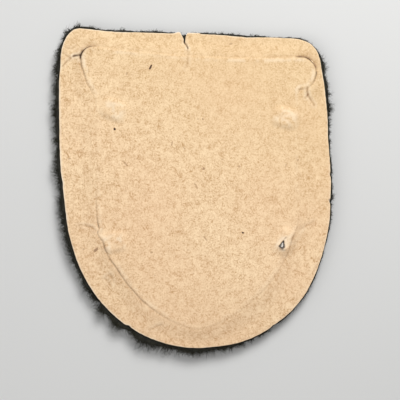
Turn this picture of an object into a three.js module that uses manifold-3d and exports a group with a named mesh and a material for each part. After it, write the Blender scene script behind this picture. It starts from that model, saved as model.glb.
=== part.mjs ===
// A metal sleeve shield on a wool cloth, lying on its front with its paper-covered back up.
// Four pieces: the stamped front shield with its four prongs, the cloth, the backing plate
// that the prongs fold over, and the cover paper glued over plate and cloth.
//
// Millimetres, +Z up. X runs across the shield and +Y towards its straight top edge.
// The origin lies on the surface that the shield rests on, below the middle of the whole.

import * as THREE from "three";
import { mergeVertices } from "three/addons/utils/BufferGeometryUtils.js";
import Module from "manifold-3d";

const wasm = await Module();
wasm.setup();

// ---------------------------------------------------------------- driving dimensions

const LAYER_GAP = 0.03; // between pieces that lie face to face
const PRONG_PLAY = 0.35; // round a prong, in the cloth's slots and in the plate's notches
const PLATE_NOTCH_MOUTH = 4; // a plate's notch starts this far outside the prong

// Thicknesses, from the front up.
const RIM_DEPTH = 0.6; // the rim and the bead stand this far out of the field
const SHIELD_SHEET = 0.8;
const CLOTH_THICKNESS = 1.6;
const PLATE_THICKNESS = 0.5;
const PRONG_THICKNESS = 0.42;
const PAPER_THICKNESS = 0.35;

const SHIELD_BACK = RIM_DEPTH + SHIELD_SHEET;
const CLOTH_BOTTOM = SHIELD_BACK + LAYER_GAP;
const CLOTH_TOP = CLOTH_BOTTOM + CLOTH_THICKNESS;
const PLATE_BOTTOM = CLOTH_TOP + LAYER_GAP;
const PLATE_TOP = PLATE_BOTTOM + PLATE_THICKNESS;
const PRONG_BOTTOM = PLATE_TOP + LAYER_GAP;
const PRONG_TOP = PRONG_BOTTOM + PRONG_THICKNESS;

// The cover paper: a U with a straight top, cut by hand, so its left and right sides differ.
// Heights are measured up from the lowest point of the paper.
const PAPER = {
  halfWidth: 29.8,
  bellyUp: 39.6, // where it is widest
  bottomPower: 2.2, // the superellipse of the rounded bottom
  shoulderUp: 63.4,
  shoulderTaper: 1.21, // how much narrower half of it is at shoulderUp
  fullHeight: 70.4,
  lean: 2.7, // how far the middle line drifts to the left by the full height
  leanPower: 1.6,
  left: { cornerWide: 4.7, cornerHigh: 8.1, topUp: 70.4 },
  right: { cornerWide: 6.7, cornerHigh: 5.4, topUp: 68.2 },
  topSag: 0.45, // the top edge dips this far, left of its middle
};

// The torn notch in the paper's top edge.
const NOTCH = { x: -2.3, mouth: 1.3, depth: 1.9, slant: 0.45 };

// How far the cloth shows round the paper: widest at the lower left.
const CLOTH_MARGIN = { mean: 0.85, swing: 0.5, widestAt: (215 * Math.PI) / 180 };
const CLOTH_WAVES = [
  { size: 0.13, count: 17, phase: 0.4 },
  { size: 0.09, count: 29, phase: 2.1 },
];

// The outline that the plate presses into the paper, and the plate's own. Both have a
// straight top with a lobe at each end, upright sides and an ogive bottom.
const PRESSED = {
  halfBody: 22.2,
  bodyUp: 22.9, // where the ogive ends and the upright side begins
  bottomPower: 1.55,
  left: { halfLobe: 25.8, lobeFoot: 49.2, lobeUp: 57.6, corner: 3.4, topUp: 61.7 },
  right: { halfLobe: 26.2, lobeFoot: 51.4, lobeUp: 53.6, corner: 3.4, topUp: 59.3 },
  topSag: 0.9,
};
const METAL_SIDE = { halfLobe: 25.3, lobeFoot: 51.4, lobeUp: 54.0, corner: 3.2, topUp: 58.7 };
const METAL = {
  halfBody: 21.5,
  bodyUp: 21.5,
  bottomPower: 1.55,
  left: METAL_SIDE,
  right: METAL_SIDE,
  topSag: 0,
};
const METAL_TURN = (-1.2 * Math.PI) / 180; // the metal sits a little askew under the paper
const PRESSED_SLOPE = 0.75; // how wide the paper's step is, seen from above
const SHIELD_OVERHANG = 0.5; // the front shield is this much larger than the plate all round

// The front shield's stamped relief, as distances in from its edge.
const RIM = { bevel: 0.3, width: 1.7, flank: 0.35 };
const BEAD = { from: 3.1, width: 0.7, depth: 0.3 };

// The prongs: cut from the sheet, passed through cloth and plate and folded over.
// Places are measured from the origin, and each one folds towards its heading.
const PRONG = { width: 2.0, length: 3.2, bendAt: 1.5, rise: 0.62 };
const PRONGS = [
  { x: -18.9, y: 17.8, heading: -0.35 },
  { x: 21.7, y: 15.2, heading: Math.PI - 0.25 },
  { x: -18.9, y: -12.1, heading: 0.2 },
  { x: 20.9, y: -10.3, heading: (-118 * Math.PI) / 180, tipThroughPaper: true },
];
// The paper's swelling over a folded prong: how far it reaches past the tab, outside and in.
const PAD = { length: 0.35, width: 0.3, reach: 0.75, hollowReach: 0.3, slope: 0.6, power: 3.2 };
const TEAR_PLAY = 0.2; // between the tip and the torn paper round it

// Where the origin lies, from the lowest point of the paper and of the pressed outline.
const PAPER_FOOT = { x: 1.49, y: -35.04 };
const PRESSED_FOOT = { x: 0.94, y: -30.67 };
const METAL_FOOT = { x: 1.0, y: -30.05 };
const FAN_CENTRE = new THREE.Vector2(0, 21); // every outline's flat faces fan out from here

// ---------------------------------------------------------------- outlines

// A superellipse's half width at a height above its foot: full width once up reaches rise.
function ogive(halfWidth, rise, power, up) {
  const below = Math.max(0, 1 - up / rise);
  return halfWidth * Math.pow(Math.max(0, 1 - Math.pow(below, power)), 1 / power);
}

function smooth(t) {
  const c = Math.min(1, Math.max(0, t));
  return c * c * (3 - 2 * c);
}

// Evenly spaced points along a closed run of points.
function evenly(points, spacing) {
  const path = new THREE.CurvePath();
  points.forEach((p, i) => {
    const next = points[(i + 1) % points.length];
    if (p.distanceTo(next) > 1e-6) path.add(new THREE.LineCurve(p, next));
  });
  const steps = Math.round(path.getLength() / spacing);
  return path.getSpacedPoints(steps).slice(0, steps);
}

// One side from the foot up to the corner, as points with x to the outside.
function sideRun(halfWidthAt, top, steps = 90) {
  const run = [];
  for (let i = 0; i <= steps; i++) {
    const up = top * Math.pow(i / steps, 1.7); // closer together near the foot
    run.push(new THREE.Vector2(halfWidthAt(up), up));
  }
  return run;
}

// The quarter ellipse that turns a side into the top edge.
function cornerRun(x, up, wide, high, steps = 12) {
  const run = [];
  for (let i = 1; i <= steps; i++) {
    const a = (i / steps) * (Math.PI / 2);
    run.push(new THREE.Vector2(x - wide * (1 - Math.cos(a)), up + high * Math.sin(a)));
  }
  return run;
}

// Both sides joined by a top edge that sags in the middle, counter-clockwise from the foot.
function closeOutline(right, left, topSag, sagAt = 0.5) {
  const mirrored = left.map((p) => new THREE.Vector2(-p.x, p.y));
  const from = right[right.length - 1];
  const to = mirrored[mirrored.length - 1];
  const top = [];
  for (let i = 1; i < 24; i++) {
    const t = i / 24;
    const sag = topSag * Math.sin(Math.PI * Math.pow(t, Math.log(0.5) / Math.log(sagAt)));
    top.push(from.clone().lerp(to, t).sub(new THREE.Vector2(0, sag)));
  }
  return [...right, ...top, ...mirrored.reverse()];
}

function paperOutline() {
  const widthAt = (up) => {
    const rise = (up - PAPER.bellyUp) / (PAPER.shoulderUp - PAPER.bellyUp);
    const taper = up > PAPER.bellyUp ? PAPER.shoulderTaper * rise * rise : 0;
    return ogive(PAPER.halfWidth, PAPER.bellyUp, PAPER.bottomPower, up) - taper;
  };
  const side = ({ cornerWide, cornerHigh, topUp }) => {
    const run = sideRun(widthAt, topUp - cornerHigh);
    const end = run[run.length - 1];
    return [...run, ...cornerRun(end.x, end.y, cornerWide, cornerHigh)];
  };
  const outline = closeOutline(side(PAPER.right), side(PAPER.left), PAPER.topSag, 0.72);
  const leaned = outline.map((p) => {
    const drift = PAPER.lean * Math.pow(Math.max(0, p.y) / PAPER.fullHeight, PAPER.leanPower);
    return new THREE.Vector2(p.x - drift + PAPER_FOOT.x, p.y + PAPER_FOOT.y);
  });
  return evenly(leaned, 1.3);
}

// The same lobed form, larger or smaller all round; its pointed foot moves furthest.
function grown(form, by) {
  const footDrop = by * 1.15;
  const grownSide = ({ halfLobe, lobeFoot, lobeUp, corner, topUp }) => ({
    halfLobe: halfLobe + by,
    lobeFoot: lobeFoot + footDrop - by * 0.4,
    lobeUp: lobeUp + footDrop - by * 0.4,
    corner: corner + by * 0.5,
    topUp: topUp + footDrop + by,
  });
  return {
    ...form,
    halfBody: form.halfBody + by,
    bodyUp: form.bodyUp + footDrop,
    left: grownSide(form.left),
    right: grownSide(form.right),
    footDrop,
  };
}

// The outline of the pressed step or of the metal, from its own foot.
function lobedOutline(form, foot, turn, spacing) {
  const side = ({ halfLobe, lobeFoot, lobeUp, corner, topUp }) => {
    const widthAt = (up) =>
      ogive(form.halfBody, form.bodyUp, form.bottomPower, up) +
      (halfLobe - form.halfBody) * smooth((up - lobeFoot) / (lobeUp - lobeFoot));
    const run = sideRun(widthAt, topUp - corner);
    return [...run, ...cornerRun(run[run.length - 1].x, topUp - corner, corner, corner)];
  };
  const outline = closeOutline(side(form.right), side(form.left), form.topSag);
  const origin = new THREE.Vector2();
  return evenly(
    outline.map((p) => p.add(new THREE.Vector2(foot.x, foot.y)).rotateAround(origin, turn)),
    spacing,
  );
}

// The outline of the metal: the backing plate's own, or one larger or smaller than it.
function metalOutline(by) {
  const form = grown(METAL, by);
  const foot = { x: METAL_FOOT.x, y: METAL_FOOT.y - form.footDrop };
  return lobedOutline(form, foot, METAL_TURN, 1.3);
}

// Moves each point of a closed, counter-clockwise outline out along its normal.
function offset(points, distanceAt) {
  const distance = typeof distanceAt === "number" ? () => distanceAt : distanceAt;
  return points.map((p, i) => {
    const before = points[(i + points.length - 1) % points.length];
    const after = points[(i + 1) % points.length];
    const along = after.clone().sub(before).normalize();
    const out = new THREE.Vector2(along.y, -along.x);
    return p.clone().addScaledVector(out, distance(p));
  });
}

function clothOutline(paper) {
  return offset(paper, (p) => {
    const angle = Math.atan2(p.y, p.x);
    const lobe = CLOTH_MARGIN.swing * Math.cos(angle - CLOTH_MARGIN.widestAt);
    const waves = CLOTH_WAVES.map((w) => w.size * Math.sin(w.count * angle + w.phase));
    return CLOTH_MARGIN.mean + lobe + waves[0] + waves[1];
  });
}

function rectangle(halfLong, halfWide) {
  return [
    new THREE.Vector2(-halfLong, -halfWide),
    new THREE.Vector2(halfLong, -halfWide),
    new THREE.Vector2(halfLong, halfWide),
    new THREE.Vector2(-halfLong, halfWide),
  ];
}

// ---------------------------------------------------------------- solids

// A closed solid through rings of equal point counts, each at its own height, bottom first.
// Its two flat ends fan out from a centre, or from the middle of their points.
function loft(rings, centre) {
  const count = rings[0].points.length;
  const positions = rings.flatMap(({ points, z }) => points.flatMap((p) => [p.x, p.y, z]));
  const ends = [rings[0], rings[rings.length - 1]];
  for (const { points, z } of ends) {
    const middle = points.reduce((sum, p) => sum.add(p), new THREE.Vector2());
    const hub = centre ?? middle.divideScalar(count);
    positions.push(hub.x, hub.y, z);
  }
  const index = [];
  for (let r = 0; r + 1 < rings.length; r++) {
    for (let i = 0; i < count; i++) {
      const j = (i + 1) % count;
      const [a, b] = [r * count + i, r * count + j];
      index.push(a, b, b + count, a, b + count, a + count);
    }
  }
  const last = (rings.length - 1) * count;
  const hubs = rings.length * count;
  for (let i = 0; i < count; i++) {
    const j = (i + 1) % count;
    index.push(j, i, hubs);
    index.push(last + i, last + j, hubs + 1);
  }
  const geometry = new THREE.BufferGeometry();
  geometry.setAttribute("position", new THREE.Float32BufferAttribute(positions, 3));
  geometry.setIndex(index);
  return geometry;
}

function straight(points, bottom, top, centre) {
  const rings = [
    { points, z: bottom },
    { points, z: top },
  ];
  return loft(rings, centre);
}

// A geometry as a manifold-3d solid, and back.
function solid(geometry) {
  const bare = geometry.clone();
  bare.deleteAttribute("normal");
  bare.deleteAttribute("uv");
  const merged = mergeVertices(bare, 1e-4);
  return new wasm.Manifold(
    new wasm.Mesh({
      numProp: 3,
      vertProperties: new Float32Array(merged.attributes.position.array),
      triVerts: new Uint32Array(merged.index.array),
    }),
  );
}

function geometryOf(made) {
  const mesh = made.getMesh();
  const geometry = new THREE.BufferGeometry();
  geometry.setAttribute("position", new THREE.BufferAttribute(mesh.vertProperties, 3));
  geometry.setIndex(new THREE.BufferAttribute(mesh.triVerts, 1));
  const flat = geometry.toNonIndexed();
  flat.computeVertexNormals();
  return flat;
}

// Places a prong's own shape: x runs along its heading and z from the rest surface.
function atProng(geometry, { x, y, heading }) {
  return geometry.rotateZ(heading).translate(x, y, 0);
}

// The leg stands behind the fold, and the tab runs from it along the heading to its point.
function prongSolid(prong) {
  const legFoot = RIM_DEPTH + 0.2;
  const leg = new THREE.BoxGeometry(PRONG_THICKNESS, PRONG.width, PRONG_TOP - legFoot);
  leg.translate(0, 0, (PRONG_TOP + legFoot) / 2);
  const half = PRONG.width / 2;
  const stations = [
    { along: -PRONG_THICKNESS / 2, half },
    { along: PRONG.bendAt, half },
    { along: PRONG.length - 0.8, half },
    { along: PRONG.length - 0.2, half: half * 0.6 },
    { along: PRONG.length, half: half * 0.2 },
  ];
  const sections = stations.map((station) => {
    const past = Math.max(0, station.along - PRONG.bendAt) / (PRONG.length - PRONG.bendAt);
    const rise = prong.tipThroughPaper ? PRONG.rise * past : 0;
    const points = rectangle(station.half, PRONG_THICKNESS / 2);
    points.forEach((p) => p.add(new THREE.Vector2(0, PRONG_BOTTOM + PRONG_THICKNESS / 2 + rise)));
    return { points, z: station.along };
  });
  const tab = loft(sections);
  const [right, away, up] = [1, 2, 0].map((axis) => new THREE.Vector3().setComponent(axis, 1));
  tab.applyMatrix4(new THREE.Matrix4().makeBasis(right, away, up));
  return solid(atProng(leg, prong)).add(solid(atProng(tab, prong)));
}

// The way through for a prong's leg: a slot in the cloth, and with a mouth of its own a notch
// that runs out over the edge behind the leg.
function prongSlot(prong, bottom, top, mouth = 0) {
  const walls = rectangle(PRONG_THICKNESS / 2 + PRONG_PLAY, PRONG.width / 2 + PRONG_PLAY);
  walls[0].x -= mouth;
  walls[3].x -= mouth;
  return solid(atProng(straight(walls, bottom, top), prong));
}

// The swelling that a folded prong makes in the paper: an oval frustum about its tab.
function padGeometry(prong, grow, bottom, top) {
  const middle = (PRONG.length - PRONG_THICKNESS / 2) / 2;
  const ring = (extra) => {
    const long = PRONG.length / 2 + PAD.length + grow + extra;
    const wide = PRONG.width / 2 + PAD.width + grow + extra;
    return Array.from({ length: 20 }, (_, i) => {
      const a = (i / 20) * 2 * Math.PI;
      const [c, s] = [Math.cos(a), Math.sin(a)];
      const norm = Math.pow(Math.abs(c), PAD.power) + Math.pow(Math.abs(s), PAD.power);
      const stretch = Math.pow(norm, -1 / PAD.power);
      return new THREE.Vector2(middle + long * c * stretch, wide * s * stretch);
    });
  };
  return atProng(
    loft([
      { points: ring(PAD.slope), z: bottom },
      { points: ring(0), z: top },
    ]),
    prong,
  );
}

// ---------------------------------------------------------------- the four pieces

const paperEdge = paperOutline();
const pressedEdge = lobedOutline(PRESSED, PRESSED_FOOT, 0, 1.3);
const plateEdge = metalOutline(0);

// The field is sunk inside the rim, and a bead runs round it.
function frontShield() {
  const edge = metalOutline(SHIELD_OVERHANG);
  const sheet = [
    { points: offset(edge, -RIM.bevel), z: 0 },
    { points: edge, z: RIM.bevel },
    { points: edge, z: SHIELD_BACK },
  ];
  const rimInside = metalOutline(SHIELD_OVERHANG - RIM.width);
  const field = [
    { points: rimInside, z: -0.1 },
    { points: rimInside, z: 0 },
    { points: offset(rimInside, -RIM.flank), z: RIM_DEPTH },
  ];
  const beadEdge = metalOutline(SHIELD_OVERHANG - BEAD.from);
  const beadInside = metalOutline(SHIELD_OVERHANG - BEAD.from - BEAD.width);
  const beadFace = RIM_DEPTH - BEAD.depth;
  const bead = solid(straight(beadEdge, beadFace, RIM_DEPTH + 0.1, FAN_CENTRE)).subtract(
    solid(straight(beadInside, beadFace - 0.1, RIM_DEPTH + 0.2, FAN_CENTRE)),
  );
  let made = solid(loft(sheet, FAN_CENTRE)).subtract(solid(loft(field, FAN_CENTRE))).add(bead);
  for (const prong of PRONGS) made = made.add(prongSolid(prong));
  return geometryOf(made);
}

function clothBacking() {
  const outline = clothOutline(paperEdge);
  let made = solid(straight(outline, CLOTH_BOTTOM, CLOTH_TOP, FAN_CENTRE));
  for (const prong of PRONGS) {
    made = made.subtract(prongSlot(prong, CLOTH_BOTTOM - 1, CLOTH_TOP + 1));
  }
  return geometryOf(made);
}

function backingPlate() {
  let made = solid(straight(plateEdge, PLATE_BOTTOM, PLATE_TOP, FAN_CENTRE));
  for (const prong of PRONGS) {
    made = made.subtract(prongSlot(prong, PLATE_BOTTOM - 1, PLATE_TOP + 1, PLATE_NOTCH_MOUTH));
  }
  return geometryOf(made);
}

// Glued to the cloth round the edge, raised over the plate and swollen over each prong.
function coverPaper() {
  const borderBottom = CLOTH_TOP + LAYER_GAP;
  const borderTop = borderBottom + PAPER_THICKNESS;
  const raisedBottom = PLATE_TOP + LAYER_GAP;
  const raisedTop = raisedBottom + PAPER_THICKNESS;
  const padBottom = PRONG_TOP + LAYER_GAP;
  const padTop = padBottom + PAPER_THICKNESS;

  const foot = offset(pressedEdge, PRESSED_SLOPE);
  const raised = [
    { points: foot, z: borderBottom },
    { points: foot, z: borderTop },
    { points: pressedEdge, z: raisedTop },
  ];
  const flat = solid(straight(paperEdge, borderBottom, borderTop, FAN_CENTRE));
  let made = flat.add(solid(loft(raised, FAN_CENTRE)));
  for (const prong of PRONGS) {
    made = made.add(solid(padGeometry(prong, PAD.reach, raisedBottom, padTop)));
  }
  const innerFoot = offset(pressedEdge, PRESSED_SLOPE - PAPER_THICKNESS);
  const hollow = [
    { points: innerFoot, z: borderBottom - 1 },
    { points: innerFoot, z: borderBottom },
    { points: offset(pressedEdge, -PAPER_THICKNESS / 2), z: raisedBottom },
  ];
  made = made.subtract(solid(loft(hollow, FAN_CENTRE)));
  for (const prong of PRONGS) {
    made = made.subtract(solid(padGeometry(prong, PAD.hollowReach, PLATE_BOTTOM, padBottom)));
  }

  // The tear that the last prong's tip comes up through.
  for (const prong of PRONGS.filter((p) => p.tipThroughPaper)) {
    const half = PRONG.width / 2 + TEAR_PLAY;
    const end = PRONG.length + TEAR_PLAY;
    const tear = [
      new THREE.Vector2(PRONG.bendAt - TEAR_PLAY, -half),
      new THREE.Vector2(end - 0.8, -half),
      new THREE.Vector2(end, -half * 0.5),
      new THREE.Vector2(end, half * 0.5),
      new THREE.Vector2(end - 0.8, half),
      new THREE.Vector2(PRONG.bendAt - TEAR_PLAY, half),
    ];
    made = made.subtract(solid(atProng(straight(tear, PRONG_BOTTOM, padTop + 1), prong)));
  }

  // The torn notch in the top edge.
  const topY = PAPER_FOOT.y + PAPER.left.topUp;
  const edgeY = topY - 0.9;
  const notch = [
    new THREE.Vector2(NOTCH.x - NOTCH.mouth / 2 - NOTCH.slant, topY + 1),
    new THREE.Vector2(NOTCH.x - NOTCH.mouth / 2, edgeY),
    new THREE.Vector2(NOTCH.x + NOTCH.slant, edgeY - NOTCH.depth),
    new THREE.Vector2(NOTCH.x + NOTCH.mouth / 2, edgeY),
    new THREE.Vector2(NOTCH.x + NOTCH.mouth / 2, topY + 1),
  ];
  return geometryOf(made.subtract(solid(straight(notch, borderBottom - 1, borderTop + 1))));
}

// ---------------------------------------------------------------- the part

const PIECES = [
  { name: "front_shield", build: frontShield, color: 0x8a8680, roughness: 0.5, metalness: 0.9 },
  { name: "cloth_backing", build: clothBacking, color: 0x2c3128, roughness: 1.0, metalness: 0.0 },
  { name: "backing_plate", build: backingPlate, color: 0x9a9a96, roughness: 0.4, metalness: 0.9 },
  { name: "cover_paper", build: coverPaper, color: 0xe0bf96, roughness: 0.9, metalness: 0.0 },
];

const sleeveShield = new THREE.Group();
sleeveShield.name = "sleeve_shield";
for (const { name, build, color, roughness, metalness } of PIECES) {
  const material = new THREE.MeshStandardMaterial({ color, roughness, metalness });
  const mesh = new THREE.Mesh(build(), material);
  mesh.name = name;
  sleeveShield.add(mesh);
}

export default sleeveShield;
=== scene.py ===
"""A metal sleeve shield on a wool cloth, lying on its front with its card-covered back up.

Four layers lie on each other: the stamped front shield with its four prongs, the felted
wool cloth, the backing plate that the prongs fold over, and the card glued over both.
Sizes are millimetres until a mesh is made. X runs across the shield, Y towards its
straight top edge and Z up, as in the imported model.
"""

from __future__ import annotations

import logging
import math
from collections.abc import Callable
from dataclasses import dataclass, field
from enum import Enum

import bmesh
import bpy
import numpy as np
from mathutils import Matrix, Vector


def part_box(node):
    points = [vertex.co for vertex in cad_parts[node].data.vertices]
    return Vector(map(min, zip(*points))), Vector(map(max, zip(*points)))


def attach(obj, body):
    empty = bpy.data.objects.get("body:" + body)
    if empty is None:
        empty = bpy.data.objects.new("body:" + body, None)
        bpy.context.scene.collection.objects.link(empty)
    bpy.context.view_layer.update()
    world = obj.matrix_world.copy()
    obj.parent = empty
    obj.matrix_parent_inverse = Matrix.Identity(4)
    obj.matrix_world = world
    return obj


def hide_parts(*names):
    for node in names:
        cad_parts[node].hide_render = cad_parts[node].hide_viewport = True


Array = np.ndarray
Socket = bpy.types.NodeSocket

LOG = logging.getLogger("sleeve_shield")
MM = 0.001

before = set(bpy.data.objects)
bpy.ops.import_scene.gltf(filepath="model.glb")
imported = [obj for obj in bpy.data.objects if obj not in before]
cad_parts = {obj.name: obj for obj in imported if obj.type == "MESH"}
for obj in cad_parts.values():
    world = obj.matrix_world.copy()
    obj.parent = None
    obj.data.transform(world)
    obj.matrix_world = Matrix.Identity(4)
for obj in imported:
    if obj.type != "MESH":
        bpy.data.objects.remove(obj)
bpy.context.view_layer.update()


# ---------------------------------------------------------------- shader expressions


class Value:
    """A number that varies over a surface: a socket with the operators of arithmetic."""

    def __init__(self, graph: Graph, socket: Socket) -> None:
        """Wrap a socket of a graph."""
        self.graph = graph
        self.socket = socket

    def _math(self, operation: str, *values: Value | float) -> Value:
        """Add one Math node and return its result."""
        sockets = dict(enumerate(values))
        return self.graph.node("ShaderNodeMath", {"operation": operation}, sockets)

    def __add__(self, other: Value | float) -> Value:
        """Return the sum."""
        return self._math("ADD", self, other)

    def __sub__(self, other: Value | float) -> Value:
        """Return the difference."""
        return self._math("SUBTRACT", self, other)

    def __rsub__(self, other: float) -> Value:
        """Return a number less this value."""
        return self._math("SUBTRACT", other, self)

    def __mul__(self, other: Value | float) -> Value:
        """Return the product."""
        return self._math("MULTIPLY", self, other)

    def __truediv__(self, other: Value | float) -> Value:
        """Return the quotient."""
        return self._math("DIVIDE", self, other)

    def __pow__(self, other: float) -> Value:
        """Return this value raised to a power."""
        return self._math("POWER", self, other)

    __radd__ = __add__
    __rmul__ = __mul__

    def clamp(self) -> Value:
        """Return the value held between 0 and 1."""
        return self.graph.node("ShaderNodeClamp", {}, {0: self})

    def ramp(self, low: float, high: float) -> Value:
        """Return 0 below low and 1 above high, with a smooth rise between them."""
        settings = {"interpolation_type": "SMOOTHSTEP"}
        return self.graph.node("ShaderNodeMapRange", settings, {0: self, 1: low, 2: high})


class Graph:
    """The node tree of one material, built by expressions."""

    def __init__(self, name: str) -> None:
        """Start an empty material with an output and a Principled shader.

        Args:
            name: The material's name.
        """
        self.material = bpy.data.materials.new(name)
        self.material.use_nodes = True
        self.tree = self.material.node_tree
        self.tree.nodes.clear()
        self.output = self.tree.nodes.new("ShaderNodeOutputMaterial")
        self.shader = self.tree.nodes.new("ShaderNodeBsdfPrincipled")
        self.tree.links.new(self.shader.outputs["BSDF"], self.output.inputs["Surface"])

    def _feed(self, target: bpy.types.Node, sockets: dict) -> None:
        """Set or link the sockets of a node.

        Args:
            target: The node whose inputs are fed.
            sockets: Input names or numbers, each with a number, a colour or a Value.
        """
        for key, value in sockets.items():
            if isinstance(value, Value):
                self.tree.links.new(value.socket, target.inputs[key])
            else:
                target.inputs[key].default_value = value

    def node(self, kind: str, settings: dict, sockets: dict, output: str | int = 0) -> Value:
        """Add a node of any type.

        Args:
            kind: The node's type.
            settings: Properties that are set first, such as an operation.
            sockets: Its inputs, by name or number.
            output: Which of its outputs is returned.

        Returns:
            The chosen output as a Value.
        """
        made = self.tree.nodes.new(kind)
        for key, value in settings.items():
            setattr(made, key, value)
        self._feed(made, sockets)
        return Value(self, made.outputs[output])

    def place(self, scale: tuple[float, float, float], turn: float = 0.0) -> Value:
        """Return the place on the piece in millimetres, turned about Z and then scaled.

        Args:
            scale: How often the pattern repeats along each axis, per millimetre.
            turn: How far it is turned, in radians.

        Returns:
            The scaled place.
        """
        here = self.node("ShaderNodeTexCoord", {}, {}, "Object")
        turned = {"Vector": here, "Rotation": (0, 0, turn), "Scale": (1 / MM,) * 3}
        in_mm = self.node("ShaderNodeMapping", {"vector_type": "POINT"}, turned)
        return self.node("ShaderNodeMapping", {}, {"Vector": in_mm, "Scale": scale})

    def noise(
        self, scale: tuple[float, float, float], turn: float, detail: float, curl: float = 0.0
    ) -> Value:
        """Return noise in 0..1.

        Args:
            scale: Waves per millimetre along each axis.
            turn: The pattern's turn about Z.
            detail: How many finer layers are added.
            curl: How far the pattern bends itself.

        Returns:
            The noise.
        """
        sockets = {"Vector": self.place(scale, turn), "Scale": 1.0, "Detail": detail, "Distortion": curl}
        return self.node("ShaderNodeTexNoise", {}, sockets)

    def attribute(self, name: str) -> Value:
        """Return a number stored at the points of the mesh."""
        return self.node("ShaderNodeAttribute", {"attribute_name": name}, {}, "Fac")

    def mix(self, amount: Value, low: Value | tuple, high: Value | tuple) -> Value:
        """Return a colour between low and high.

        Args:
            amount: 0 for the low colour, 1 for the high one.
            low: A colour or a link.
            high: A colour or a link.

        Returns:
            The mixed colour.
        """
        low, high = (c if isinstance(c, Value) else (*c, 1.0) for c in (low, high))
        sockets = {0: amount, 6: low, 7: high}
        return self.node("ShaderNodeMix", {"data_type": "RGBA"}, sockets, 2)

    def bump(self, height: Value, depth: float) -> Value:
        """Return a normal from a height in 0..1 that stands depth millimetres high."""
        return self.node("ShaderNodeBump", {}, {"Height": height, "Distance": depth * MM})

    def finish(self, **sockets: Value | float | tuple) -> bpy.types.Material:
        """Feed the shader, with spaces for underscores in its socket names."""
        self._feed(self.shader, {k.replace("_", " "): v for k, v in sockets.items()})
        return self.material


# ---------------------------------------------------------------- finishes


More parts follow.
